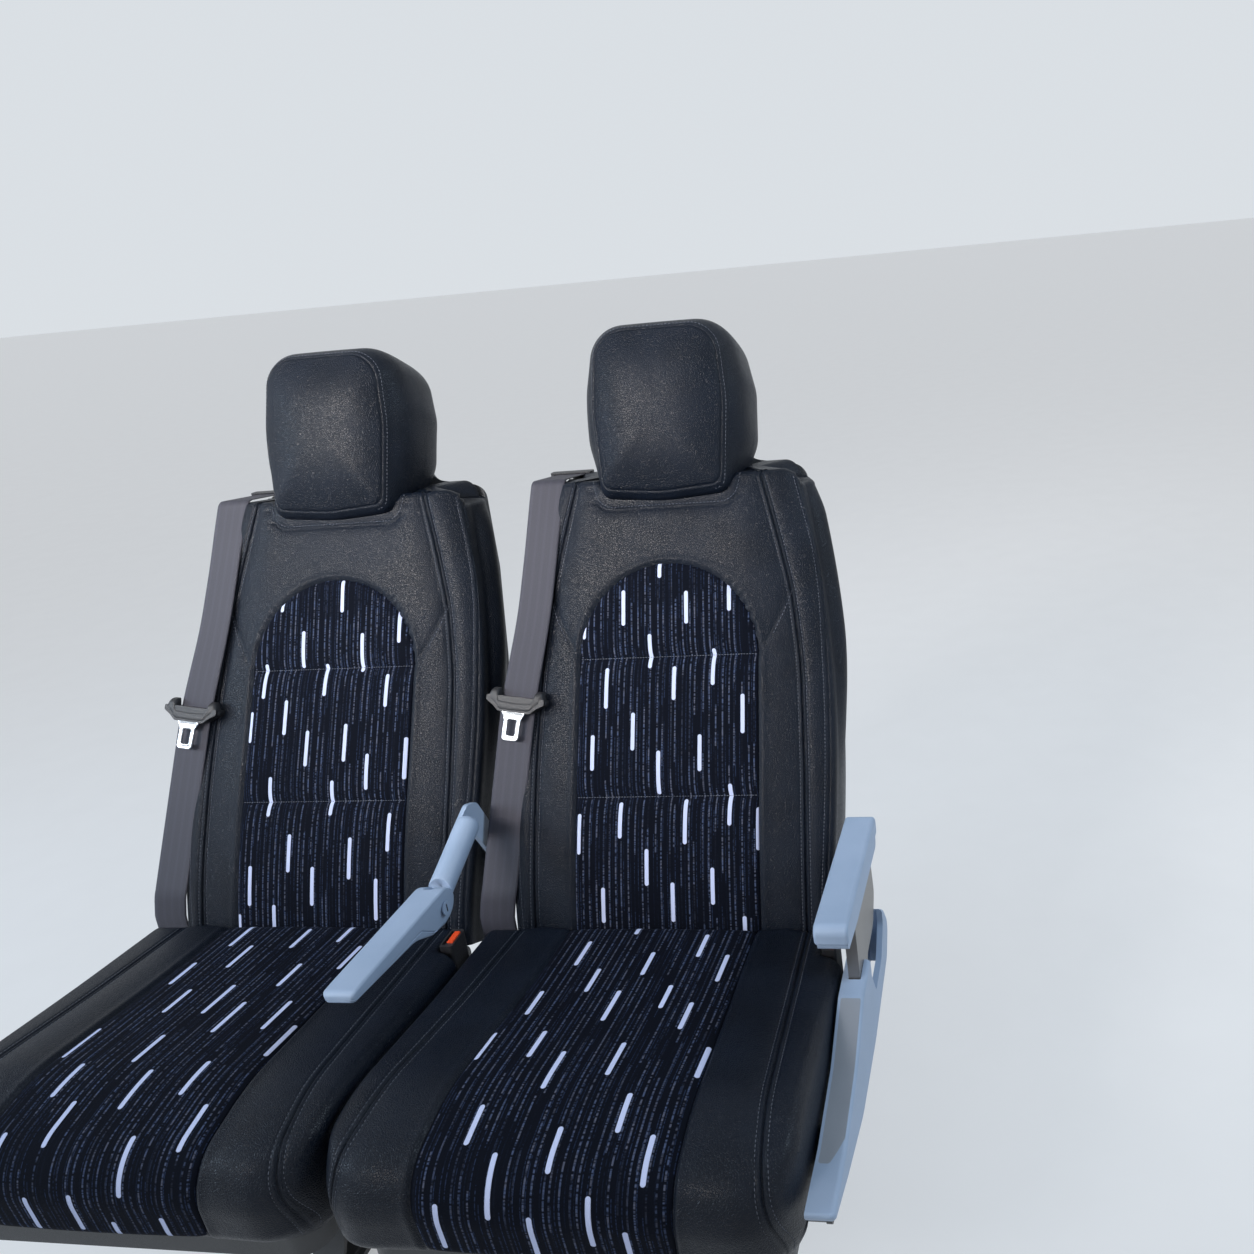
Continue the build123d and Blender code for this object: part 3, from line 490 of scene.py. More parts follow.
# %% Seam curves of the back
side_seam_along = np.array([-30.0, 100.0, 202.0, 322.0, 413.0, 496.0, 575.0, 640.0])
side_seam_x = np.array([176.0, 177.0, 177.0, 174.0, 164.0, 145.0, 125.0, 108.0])


def side_seam(along):
    """The side seam's x at a height: linear interpolation averaged over 50 mm, so it bends
    softly."""
    shifts = np.linspace(-25, 25, 11)
    return np.mean([np.interp(along + s, side_seam_along, side_seam_x) for s in shifts], axis=0)


def edge_x(along):
    """Half width of the front panel, at the outer edge seam."""
    return half_width(along) - 8.0 + 6.0 * np.exp(-(((along - 455.0) / 90.0) ** 2))


slant = np.array([[161.0, 420.0], [150.0, 392.0], [136.0, 364.0], [121.0, 339.0]])
pocket = rounded([(-112, 600), (-96, 533), (96, 533), (112, 600)], [0, 26, 26, 0], closed=False)
arch_half, arch_foot, arch_rise = 120.0, 338.0, 121.0


def distance_to(x, along, curve):
    """Shortest distance to a polyline: for each of its runs, the nearest point by projection."""
    best = np.full(np.shape(x), 1e9)
    for (x0, y0), (x1, y1) in zip(curve[:-1], curve[1:]):
        dx, dy = x1 - x0, y1 - y0
        t = np.clip(((x - x0) * dx + (along - y0) * dy) / max(dx * dx + dy * dy, 1e-9), 0, 1)
        best = np.minimum(best, np.hypot(x - x0 - t * dx, along - y0 - t * dy))
    return best


WELT_AT, STITCHES_AT = 2.7, 5.6


def topstitched(d, scale=1.0):
    """Relief of a seam with a row of stitches each side, d mm away: a deep narrow dip in the
    middle, a welt each side, shallow dips under the stitches and a soft fall to the seam."""
    middle = -2.2 * np.exp(-((d / 0.9) ** 2))
    welt = 0.9 * np.exp(-(((np.abs(d) - WELT_AT) / 1.3) ** 2))
    row = -0.8 * np.exp(-(((np.abs(d) - STITCHES_AT) / 1.1) ** 2))
    return scale * (middle + welt + row - 1.2 * np.exp(-((d / 13.0) ** 2)))


def single_seam(d, scale=1.0):
    """Relief of a plain seam: a narrow dip in a soft valley."""
    return scale * (-1.9 * np.exp(-((d / 1.3) ** 2)) - 1.0 * np.exp(-((d / 8.0) ** 2)))


print("side seam x at 0, 300, 500:", np.round(side_seam(np.array([0.0, 300.0, 500.0])), 1))

# %% [markdown]
# ## The front surface of the back
# The panel between the seams is nearly flat, its sides fall away to the edge, and each panel
# swells a little between its seams. All of that is one function of x and along, so stitches
# and the insert can be laid on the same surface later.

# %% Height of the back's front surface
def insert_edge(x, along):
    """Roughly the distance outside the insert's outline: sides below the arch, an arc above."""
    side = np.abs(x) - arch_half
    arc = np.hypot(x / arch_half, (along - arch_foot) / arch_rise) * arch_half - arch_half
    return np.where(along < arch_foot, side, arc)


def plain_front(x, along):
    """Front surface without seams: front place plus a side fall that grows with the square
    of the way from the crown to the edge."""
    half = edge_x(along)
    crown = 0.52 * half
    fall = np.clip((np.abs(x) - crown) / (half - crown), 0, 1.1) ** 1.6
    return front_place(along) + side_step(along) * fall


def seam_relief(x, along):
    """Sum of all seam reliefs of the back, positive towards the sitter."""
    near = side_seam(along)
    relief = topstitched(np.abs(x) - near)
    relief += topstitched(np.abs(x) - edge_x(along) + 1.0, 0.6)
    relief += single_seam(distance_to(np.abs(x), along, slant))
    relief += single_seam(distance_to(x, along, pocket), 1.35)
    out = insert_edge(x, along)
    relief += -3.0 * np.exp(-((out / 2.2) ** 2)) + 1.3 * np.exp(-(((out - 5.0) / 4.0) ** 2))
    relief -= 7.0 * smooth(-out, 1, 7)
    bolster = np.clip((np.abs(x) - near) / (edge_x(along) - near), 0, 1)
    relief += 3.2 * np.sin(np.pi * bolster) * smooth(along, 600, 540)
    wave = np.sin(x / 23.0 + along / 61.0) * np.sin(along / 37.0 - x / 90.0)
    return relief + 0.35 * wave


def back_front(x, along):
    """Behind value of the finished front surface."""
    return plain_front(x, along) - seam_relief(x, along)


middle_and_edge = back_front(np.array([0.0, 200.0]), np.array([250.0, 250.0]))
print("front at the middle and the edge:", np.round(middle_and_edge, 1))

# %% [markdown]
# ## Back pads
# The pad is a loop of columns round the back, carried from the bottom to the level top. Columns
# crowd together beside the side seams, so that a 1 mm welt has points to stand on. The top of
# each column stops at the shoulder line, or lower where the headrest sits, and the two halves
# of the loop meet over the top like a zip.

# %% Columns of the loop
half_welt = np.array([0.4, 1.0, 1.8, WELT_AT, 3.7, 4.7, STITCHES_AT, 6.6, 7.6, 9.5])
welt_steps = np.r_[-half_welt[::-1], half_welt]
PAD_REAR = 92.0
SIDE_R = 11.0


def spaced(low, high, count):
    """Fractions between two moving borders, given per row; the last border is left out."""
    t = np.linspace(0, 1, count, endpoint=False)
    return low[:, None] + (high - low)[:, None] * t


def front_columns(along):
    """x of the front's columns for each row, from the middle to the edge and mirrored."""
    seam, edge = side_seam(along), edge_x(along)
    inner = np.minimum(116.0, seam - 16)
    half = np.hstack([
        spaced(np.zeros_like(seam), inner, 18),
        spaced(inner, seam - 11, 14),
        seam[:, None] + welt_steps,
        spaced(seam + 11, edge - 8, 7),
        edge[:, None] - 1.0 + np.array([-7.0, -5.6, -4.2, -2.7, -1.6, -0.6, 0.4, 1.0]),
    ])
    return np.hstack([-half[:, :0:-1], half])


def side_columns(along, front_edge):
    """The turn round the front corner, the gusset and the rear corner on the +x side."""
    edge = edge_x(along)[:, None]
    wide = half_width(along)[:, None] + 0.5
    angle = np.linspace(0.15, 1, 8) * np.pi / 2
    x1 = edge + (wide - edge - 1.5) * np.sin(angle)
    b1 = front_edge[:, None] + SIDE_R * (1 - np.cos(angle))
    t = np.linspace(0.1, 0.9, 12)
    swell = (2.0 + 12.0 * smooth(along, 160, 380) * smooth(-along, -600, -520))[:, None]
    x2 = wide - 1.5 + swell * np.sin(np.pi * (t - 0.1) / 0.8)
    b2 = b1[:, -1:] + (PAD_REAR - 10 - b1[:, -1:]) * t
    x3 = wide - 1.5 - 9 * (1 - np.cos(angle))
    b3 = PAD_REAR - 10 + 10 * np.sin(angle) + 0 * edge
    return np.hstack([x1, x2, x3]), np.hstack([b1, b2, b3])


def back_loop(along):
    """Closed loop (x, behind) at each row's height: front, +x side, rear, -x side."""
    x = front_columns(along)
    behind = back_front(x, along[:, None])
    sx, sb = side_columns(along, behind[:, -1])
    rear_x = x[:, ::-1] * ((half_width(along) - 10.0) / x[:, -1])[:, None]
    return (np.hstack([x, sx, rear_x, -sx[:, ::-1]]),
            np.hstack([behind, sb, np.full_like(x, PAD_REAR), sb[:, ::-1]]))


sample_x, _ = back_loop(np.array([0.0, 300.0]))
print("columns in the loop:", sample_x.shape[1])

# %% [markdown]
# The headrest sits in a notch in the top. Its outline is a rounded trapezoid, and the pad's top
# follows the lower part of it.

# %% The headrest's outline and the pad's top line
head_low, head_high = 556.0, 768.0
head_outline = rounded(
    [(-86, head_low - 1), (86, head_low - 1), (124, 636), (75, head_high), (-75, head_high),
     (-124, 636)],
    [46, 46, 90, 57, 57, 90],
)
lower = resample(head_outline, 400, closed=True)
lower = lower[lower[:, 1] < 640]
lower = lower[np.argsort(lower[:, 0])]


def notch_line(x):
    """Height of the headrest's lower outline at x, and far up beside it."""
    return np.interp(x, lower[:, 0], lower[:, 1], left=900, right=900)


def shoulder_line(behind):
    """Along value of the shoulders' top: level in the room, a little higher in front."""
    level = 522.0 - 12.0 * np.clip(behind, 0, 100) / 100.0
    return (level + behind * np.sin(LEAN)) / np.cos(LEAN)


def corner_drop(x):
    """Rounding of the shoulders' outer corners: a quarter ellipse, 26 mm wide and 30 mm high on
    the aisle side, 10 mm high under the belt."""
    into = np.clip(np.abs(x) - 152.0, 0, 25.5) / 26.0
    return np.where(x > 0, 30.0, 10.0) * (1 - np.sqrt(1 - into ** 2))


print("top in front and behind:", np.round(shoulder_line(np.array([5.0, 90.0])), 1))

# %% Back pads
def pad_points(top_r=9.0):
    """Rows up the pad, then a quarter turn over the top edge, then both halves to the middle.
    The rows' heights follow from the top, and the top from the top row, so three rounds find both."""
    share = np.r_[np.linspace(0, 0.56, 84, endpoint=False),
                  np.linspace(0.56, 0.72, 42, endpoint=False),
                  np.linspace(0.72, 0.88, 28, endpoint=False), np.linspace(0.88, 1.0, 30)]
    bottom, first_top, gusset_out = -25.0, 575.0, 178.0
    x, behind = back_loop(bottom + share * (first_top - bottom))
    count = x.shape[1]
    for _ in range(3):
        outer = np.abs(x[-1]) * np.where(np.arange(count) < front_count, 1.0, 1.07)
        outer[front_count + 8 : front_count + side_count] = gusset_out
        outer[2 * front_count + side_count : -8] = gusset_out
        level = shoulder_line(behind[-1]) - corner_drop(outer * np.sign(x[-1]))
        top = np.minimum(level, notch_line(x[-1])) - top_r
        along = bottom + share[:, None] * (top - bottom)
        x, behind = relocate(along)
    tangent = np.stack([np.roll(x[-1], -1) - np.roll(x[-1], 1),
                        np.roll(behind[-1], -1) - np.roll(behind[-1], 1)])
    tangent = tangent / np.maximum(np.linalg.norm(tangent, axis=0), 1e-9)
    inward = np.stack([-tangent[1], tangent[0]])
    angle = np.linspace(0.15, 1, 7)[:, None] * np.pi / 2
    step = top_r * (1 - np.cos(angle))
    turn_x, turn_b = x[-1] + inward[0] * step, behind[-1] + inward[1] * step
    turn_a = along[-1] + top_r * np.sin(angle)
    cap = to_middle(turn_x[-1], turn_b[-1], turn_a[-1])
    low = [v[::-1] for v in to_middle(x[0], behind[0], along[0])]
    return [np.vstack(v) for v in zip(low, (x, behind, along), (turn_x, turn_b, turn_a), cap)]


def to_middle(x, behind, along):
    """Rows from one loop to a line in its middle. A front column and the rear column at the
    same x meet on the line, and all columns of a side meet at its end."""
    n, s_ = front_count, side_count
    front_x, rear = x[:n] * 0.78, slice(n + s_, 2 * n + s_)
    meet = [front_x, np.full(n, 50.0), (along[:n] + along[rear][::-1]) / 2]
    share = np.linspace(0, 1, 11)[1:, None]
    rows = []
    for v, m in zip((x, behind, along), meet):
        target = np.concatenate([m, np.full(s_, m[-1]), m[::-1], np.full(s_, m[0])])
        rows.append(v + (target - v) * share)
    return rows


def relocate(along):
    """The loop with a height of its own for each column."""
    x = np.empty_like(along)
    behind = np.empty_like(along)
    n, s = front_count, side_count
    at_middle, _ = back_loop(along[:, n // 2])
    edge_along = along[:, n : n + s].mean(axis=1)
    fx = front_columns(edge_along)[:, -1]
    sx, sb = side_columns(edge_along, back_front(fx, edge_along))
    scale = (fx / at_middle[:, n - 1])[:, None]
    x[:, :n] = at_middle[:, :n] * scale ** (np.abs(at_middle[:, :n]) / fx[:, None]) ** 3
    behind[:, :n] = back_front(x[:, :n], along[:, :n])
    limit = (half_width(edge_along) - 10.0)[:, None]
    x[:, n : n + s], behind[:, n : n + s] = sx, sb
    x[:, n + s : 2 * n + s] = x[:, :n][:, ::-1] * limit / x[:, n - 1 : n]
    behind[:, n + s : 2 * n + s] = PAD_REAR
    x[:, 2 * n + s :], behind[:, 2 * n + s :] = -sx[:, ::-1], sb[:, ::-1]
    return x, behind


front_count = front_columns(np.array([0.0])).shape[1]
side_count = side_columns(np.array([0.0]), np.array([0.0]))[0].shape[1]
pad_x, pad_b, pad_a = pad_points()
pad_faces = grid_faces(*pad_x.shape, wrap=True)
for name, centre in SEATS.items():
    pad = new_piece("back_cover_" + name, from_back(pad_x, pad_a, pad_b, centre), pad_faces)
    finish(pad, leather, "backrest_" + name)
    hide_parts("back_pad_" + name)

# %% [markdown]
# ## Stitches
# A row of stitches is hundreds of short threads, each a tiny spindle half sunk in the hide. One
# spindle is worked out once, and the whole row is that spindle moved and turned by arrays: its
# length lies along the seam and its thickness along the surface's normal.

# %% A row of stitches on any surface
def stitch_arrays(line, normal, pitch=4.6, length=3.4, radius=0.5):
    """Spindles along a line in mm. Ring k of a spindle has radius times sin(pi k / 3)."""
    total = np.linalg.norm(np.diff(line, axis=0), axis=1).sum()
    count = max(2, int(total / pitch))
    joined = resample(np.hstack([line, normal]), 2 * count + 1)
    centre, out = joined[1::2, :3], unit(joined[1::2, 3:])
    run = unit(joined[2::2, :3] - joined[:-2:2, :3])
    side = unit(np.cross(run, out))
    ring = np.arange(4)
    around = np.arange(6) / 6 * 2 * np.pi
    t = (ring / 3 - 0.5) * length
    r = radius * np.sin(np.pi * np.clip(ring / 3, 0.02, 0.98)) ** 0.7
    local = np.stack([
        t[:, None] + 0 * around,
        r[:, None] * np.cos(around),
        r[:, None] * np.sin(around),
    ], -1)
    points = centre[:, None, None] + sum(
        local[None, ..., k : k + 1] * axis[:, None, None] for k, axis in enumerate((run, side, out)))
    ends = [[0, 5, 4, 3], [0, 3, 2, 1], [18, 19, 20, 21], [18, 21, 22, 23]]
    one = np.vstack([grid_faces(4, 6, wrap=True), ends])
    faces = one[None] + (np.arange(count) * 24)[:, None, None]
    return points.reshape(-1, 3), faces.reshape(-1, 4)


def join_rows(rows):
    """Several (points, faces) pairs as one."""
    start = np.cumsum([0] + [len(p) for p, _ in rows[:-1]])
    return np.vstack([p for p, _ in rows]), np.vstack([f + s for (_, f), s in zip(rows, start)])


def on_front(x, along, centre, lift=0.0):
    """World points in mm and normals of the back's front surface, the normal from small steps."""
    def at(dx, da):
        return from_back(x + dx, along + da, plain_front(x + dx, along + da), centre) * 1000
    normal = unit(np.cross(at(0.5, 0) - at(-0.5, 0), at(0, 0.5) - at(0, -0.5)))
    normal = normal * np.where(normal[:, 1:2] > 0, -1, 1)
    point = from_back(x, along, back_front(x, along) - lift, centre) * 1000
    return point, normal


rise = np.linspace(-18, 568, 240)
for name, centre in SEATS.items():
    rows = []
    for side in (-1, 1):
        for offset in (-STITCHES_AT, STITCHES_AT):
            rows.append(stitch_arrays(*on_front(side * (side_seam(rise) + offset), rise, centre)))
        rows.append(stitch_arrays(*on_front(side * (edge_x(rise) - 6.6), rise, centre)))
        short = resample(slant[:-1] + [3.2, -2.2], 40)
        rows.append(stitch_arrays(*on_front(side * short[:, 0], short[:, 1], centre)))
    inside = resample(pocket * [0.965, 1] + [0, 3.5], 160)
    inside = inside[inside[:, 1] < 574]
    rows.append(stitch_arrays(*on_front(inside[:, 0], inside[:, 1], centre)))
    points, faces = join_rows(rows)
    stitches = new_piece("back_stitching_" + name, points / 1000, faces, merge=1e-8)
    finish(stitches, thread, "backrest_" + name)

# %% [markdown]
# ## Woven insert of the back
# The insert is its own thin cushion, let into the cover. Rows go up to the top of the arch, and
# each row is as wide as the arch is there. Two sewn channels cross it. At a channel the cloth is
# drawn together, so the UV map is pushed sideways there and the stripes kink as sewn cloth does.

# %% Insert panels of the backs
channels = [161.0, 337.0]


def shell_of(front, rear, uv_front):
    """Closes a front grid with a rear grid of the same size: the loop runs over the front and
    back over the rear, and the end rows fold together."""
    loop = np.concatenate([front, rear[:, ::-1]], axis=1)
    uv = np.concatenate([uv_front, uv_front[:, ::-1]], axis=1)
    count = loop.shape[1]
    folded = (loop + loop[:, ::-1]) / 2
    grid = np.concatenate([folded[:1], loop, folded[-1:]])
    uv = np.concatenate([uv[:1], uv, uv[-1:]])
    return grid, grid_faces(grid.shape[0], count, wrap=True), uv


def insert_grid(columns=72):
    """x and along of the insert: a row's half width is the outline's at that height."""
    low = np.linspace(-22, arch_foot, 130, endpoint=False)
    high = arch_foot + arch_rise * np.sin(np.linspace(0, 1, 48) * np.pi / 2 * 0.985)
    along = np.r_[low, high]
    rise = np.clip((along - arch_foot) / arch_rise, 0, 1)
    half = arch_half * np.sqrt(1 - rise ** 2)
    t = np.linspace(-1, 1, columns)
    t = 0.55 * np.sin(t * np.pi / 2) + 0.45 * t
    return half[:, None] * t, np.repeat(along[:, None], columns, axis=1)


ins_x, ins_a = insert_grid()
inside = -insert_edge(ins_x, ins_a)
puff = 3.4 * (1 - np.exp(-inside / 4.0)) - 2.6
quilt = sum(-1.9 * np.exp(-np.abs(ins_a - c) / 4.0) - 1.4 * np.exp(-(((ins_a - c) / 24) ** 2))
            for c in channels)
ripple = 0.25 * np.sin(ins_x / 5.2 + 1.5 * np.sin(ins_a / 40)) * sum(
    np.exp(-np.abs(ins_a - c) / 16) for c in channels)
ins_front = plain_front(ins_x, ins_a) - puff - quilt * np.clip(inside / 6, 0, 1) - ripple
kink = sum(-2.6 * np.exp(-np.abs(ins_a - c) / 11) for c in channels)
ins_uv = np.stack([ins_x + kink, ins_a], -1) / 1000.0
for k, (name, centre) in enumerate(SEATS.items()):
    grid, faces, uv = shell_of(
        from_back(ins_x, ins_a, ins_front, centre),
        from_back(ins_x, ins_a, plain_front(ins_x, ins_a) + 5.0, centre), ins_uv)
    panel = new_piece("back_insert_" + name, grid, faces, uv)
    striped_panel = insert_cloth("insert_cloth_back_" + name, 3.0 + 4.0 * k)
    finish(panel, striped_panel, "backrest_" + name)
    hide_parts("back_pad_" + name)

# %% Stitched channels across the inserts
for name, centre in SEATS.items():
    rows = []
    for c in channels:
        x = np.linspace(-118.0, 118.0, 120)
        a = np.full_like(x, c)
        _, normal = on_front(x, a, centre)
        row = np.argmin(np.abs(ins_a[:, 0] - c))
        behind = np.interp(x, ins_x[row], ins_front[row]) - 0.2
        line = from_back(x, a, behind, centre) * 1000
        rows.append(stitch_arrays(line, normal, 3.6, 3.0, 0.42))
    points, faces = join_rows(rows)
    line = new_piece("insert_stitching_" + name, points / 1000, faces, merge=1e-8)
    finish(line, thread, "backrest_" + name)

# %% [markdown]
# ## Headrests
# A headrest is a front panel, a gusset that flares towards the rear and a rear panel. Each
# border is a rounded trapezoid, read as a radius for every direction round one centre, so the
# borders can be lofted direction by direction.

# %% Headrest surface
head_centre = np.array([0.0, 655.0])
directions = np.linspace(0, 2 * np.pi, 220, endpoint=False)


def radius_by_direction(outline):
    """Radius of a closed outline for each direction, by interpolation over its own angles."""
    rel = resample(outline, 900, closed=True) - head_centre
    angle = np.arctan2(rel[:, 1], rel[:, 0]) % (2 * np.pi)
    order = np.argsort(angle)
    return np.interp(directions, angle[order], np.hypot(*rel[order].T), period=2 * np.pi)


panel_edge = radius_by_direction(rounded(
    [(-79, 557), (0, 550), (79, 557), (87, 664), (79, 759), (-79, 759), (-87, 664)],
    [14, 200, 14, 200, 40, 40, 200]))
widest = radius_by_direction(rounded(
    [(-86, 553), (86, 553), (114, 622), (113, 696), (92, 777), (-92, 777), (-113, 696),
     (-114, 622)],
    [40, 40, 60, 70, 50, 50, 70, 60]))


def head_rings():
    """(radius, behind) rings from the front's middle, over the edge seam and the gusset, to the
    rear's middle."""
    level = 0 * directions
    rings = []
    for t in np.r_[0.0, np.linspace(0.06, 0.93, 22), 0.955, 0.97]:
        rings.append((panel_edge * t, -43.0 + 16.8 * t ** 3.0 + level))
    seam = [(0.983, -26.4), (0.992, -25.3), (1.0, -23.9), (1.008, -24.3), (1.022, -23.9),
            (1.036, -22.0), (1.052, -20.2), (1.066, -18.6), (1.08, -16.2)]
    rings += [(panel_edge * s, b + level) for s, b in seam]
    for t in np.linspace(0.12, 1, 16):
        swollen = panel_edge * 1.08 * (1 - t) + widest * t + 5.0 * np.sin(np.pi * t)
        rings.append((swollen, -16.2 + 52 * t ** 1.15 + level))
    for t in np.linspace(0.1, 1, 12) * np.pi / 2:
        rings.append((widest - 20 * (1 - np.cos(t)), 35.8 + 44 * np.sin(t) + level))
    last = widest - 20
    rings += [(last * t, 80.5 + 1.5 * (1 - t) + level) for t in np.linspace(0.93, 0, 14)]
    return np.array([r for r, _ in rings]), np.array([b for _, b in rings])


def head_lean(along, behind):
    """The front stands 10 degrees nearer upright than the back: behind falls by 0.17 for each
    mm above the pivot height of 590, and by nothing at the rear."""
    return behind - 0.17 * (along - 590.0) * smooth(-behind, -60.0, -5.0)


ring_r, ring_b = head_rings()
head_x = ring_r * np.cos(directions)
head_a = head_centre[1] + ring_r * np.sin(directions)
ring_b = head_lean(head_a, ring_b)
STITCH_RING = 31  # the ring at 1.052 of the panel's edge
for name, centre in SEATS.items():
    head = new_piece("headrest_cover_" + name, from_back(head_x, head_a, ring_b, centre),
                     grid_faces(*ring_r.shape, wrap=True))
    finish(head, leather, "backrest_" + name)
    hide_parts("headrest_" + name)
    order = np.argsort((directions + 0.9) % (2 * np.pi))
    sides_and_top = (directions < np.pi + 0.1) | (directions > 5.3)
    order = order[sides_and_top[order]]
    at = STITCH_RING
    ring = from_back(head_x[at], head_a[at], ring_b[at], centre)[order] * 1000
    out = ring - from_back(np.zeros(1), head_centre[1:], np.array([30.0]), centre) * 1000
    points, faces = stitch_arrays(ring, unit(out), 5.0, 3.6, 0.5)
    line = new_piece("headrest_stitching_" + name, points / 1000, faces, merge=1e-8)
    finish(line, thread, "backrest_" + name)

# %% [markdown]
# ## Cushions
# A cushion is its side profile carried across the seat: level behind, a crest over the thigh and
# a rounded front. Near each side the profile is offset inwards, which rounds the edge, and the
# front corners are drawn back in plan. Seams and welts follow as on the back.

# %% Profile of the cushion
CUSHION_HALF, EDGE_R, CORNER_R = 225.0, 18.0, 52.0
crest = SEAT_LINE + 32.0
profile = rounded(
    [(-4, 440), (-304, crest), (-405, crest - 22), (-393, 342), (-47, 342)], [15, 200, 50, 30, 26])
start = np.argmax(profile[:, 0] - 0.4 * profile[:, 1] / 10)
profile = resample(np.roll(profile, -start, axis=0), 1200, closed=True)


def profile_rows():
    """The profile at uneven steps: fine over the top and front, coarse underneath."""
    step = np.linalg.norm(np.roll(profile, -1, axis=0) - profile, axis=1)
    length = np.r_[0, np.cumsum(step)]
    seen = (profile[:, 1] > 380) | (profile[:, 0] < -385)
    density = np.r_[0, np.cumsum(np.where(seen, 1.0, 0.25) * step)]
    at = np.interp(np.linspace(0, density[-1], 236, endpoint=False), density, length)
    whole = np.vstack([profile, profile[:1]])
    return np.column_stack([np.interp(at, length, whole[:, k]) for k in (0, 1)]), at


rows_yz, row_length = profile_rows()
tangent = np.roll(rows_yz, -1, axis=0) - np.roll(rows_yz, 1, axis=0)
tangent = unit(tangent)
ahead = np.roll(profile, -1, axis=0)
area = np.sum(profile[:, 0] * ahead[:, 1] - profile[:, 1] * ahead[:, 0])
outward = np.column_stack([tangent[:, 1], -tangent[:, 0]]) * np.sign(area)
print("profile length", round(float(row_length[-1])), "mm, rows", len(rows_yz))


# %% Seams of the cushion
def cushion_seam(y, z):
    """The double seam's x: along the bolster, then out round the front corner to its foot."""
    forward_at = [0, 59, 166, 232, 306, 350, 390, 405]
    top = np.interp(-y, forward_at, [177, 179, 183, 186, 190, 194, 199, 202])
    return top + 13.0 * smooth(-z, -430, -350) * smooth(-y, 350, 400)


seam_x = cushion_seam(rows_yz[:, 0], rows_yz[:, 1])
insert_half = (116.0 + 6.0 * smooth(-rows_yz[:, 0], 60, 320)
               - 3.0 * smooth(-rows_yz[:, 1], -440, -350))
front_share = smooth(-rows_yz[:, 0], 330, 405)
top_share = smooth(rows_yz[:, 1], 400, 425)


def welt_room(seam):
    """1 where a seam has 12 mm beside it, and less where the cushion's side is nearer."""
    return np.minimum(1, (CUSHION_HALF - 1.0 - seam) / 12)


def cushion_columns():
    """x of the columns for each row of the profile, denser beside the seams."""
    half = np.hstack([
        spaced(np.zeros_like(seam_x), insert_half - 3, 22),
        insert_half[:, None] + np.array([-3.0, -2.0, -1.0, 0.0, 1.2, 2.6, 4.0, 6.0]),
        spaced(insert_half + 8, seam_x - 11, 14),
        seam_x[:, None] + welt_steps * welt_room(seam_x)[:, None],
    ])
    edge = CUSHION_HALF - np.array([12.0, 9.0, 6.0, 3.5, 1.8, 0.7, 0.0])
    tail = np.maximum(edge[None], half[:, -1:] + 0.15 * (1 + np.arange(7)))
    half = np.hstack([half, np.minimum(tail, CUSHION_HALF + 0 * tail)])
    return np.hstack([-half[:, :0:-1], half])


cush_x = cushion_columns()
print("cushion columns:", cush_x.shape[1])


# %% Cushion surface
def cushion_offset(x, seam, insert, upper):
    """Offset of the surface from the profile, positive outwards: a rounded edge, the seams'
    relief, a raised bolster and a bed for the insert."""
    a = np.abs(x)
    into = np.clip(a - (CUSHION_HALF - EDGE_R), 0, EDGE_R)
    edge = np.sqrt(EDGE_R ** 2 - into ** 2) - EDGE_R
    relief = topstitched(a - seam)
    out = a - insert
    relief += -3.0 * np.exp(-((out / 2.2) ** 2)) + 1.3 * np.exp(-(((out - 5.0) / 4.0) ** 2))
    relief -= 6.0 * smooth(-out, 1, 7)
    bolster = np.clip((a - insert) / (seam - insert), 0, 1)
    relief += 3.5 * np.sin(np.pi * bolster) + 1.5 * smooth(a, 140, 200)
    return edge + relief * upper


def corner_pull(x):
    """How far a front corner is drawn back: a quarter circle in plan."""
    into = np.clip(np.abs(x) - (CUSHION_HALF - CORNER_R), 0, CORNER_R)
    return CORNER_R - np.sqrt(CORNER_R ** 2 - into ** 2)


upper = np.maximum(top_share, front_share * smooth(rows_yz[:, 1], 346, 372))[:, None]
offset = cushion_offset(cush_x, seam_x[:, None], insert_half[:, None], upper)
pull = corner_pull(cush_x) * front_share[:, None]
wrinkle = np.sin((cush_x * 0.5 - rows_yz[:, :1] * 0.8) / 5.5 + 2 * np.sin(cush_x / 31)) * np.exp(
    -((np.abs(cush_x) - 195) / 22) ** 2) * smooth(-rows_yz[:, :1], 300, 370) * 0.35
offset = offset + wrinkle * upper
cush_y = rows_yz[:, :1] + outward[:, :1] * offset + pull
cush_z = rows_yz[:, 1:] + outward[:, 1:] * offset
middle = np.array([[-210.0, 395.0]])
shrink = np.array([0.995, 0.97, 0.9, 0.7, 0.4, 0.0])
side_y = middle[0, 0] + (cush_y[:, -1:] - middle[0, 0]) * shrink
side_z = middle[0, 1] + (cush_z[:, -1:] - middle[0, 1]) * shrink
side_x = CUSHION_HALF + 1.2 * (1 - shrink ** 2) + 0 * side_y
grid_y = np.hstack([side_y[:, ::-1], cush_y, side_y])
grid_z = np.hstack([side_z[:, ::-1], cush_z, side_z])
grid_x = np.hstack([-side_x[:, ::-1], cush_x, side_x])
print("cushion height from", round(grid_z.min(), 1), "to", round(grid_z.max(), 1), "mm")

# %% [markdown]
# The buckle hangs in a step cut into the cushion's rear corner on one side. There the cover is
# simply drawn inwards, behind the buckle's front edge.

# %% Cushion covers
BUCKLE_SIDE = 199.0


def spread(x, y):
    """The cushion's plan: 3 % wider behind, 4 % at the front, and moved 1 to 6 mm towards -x."""
    front = smooth(-y, 120.0, 360.0)
    return x * (1.028 + 0.012 * front) - 1.0 - 5.0 * front


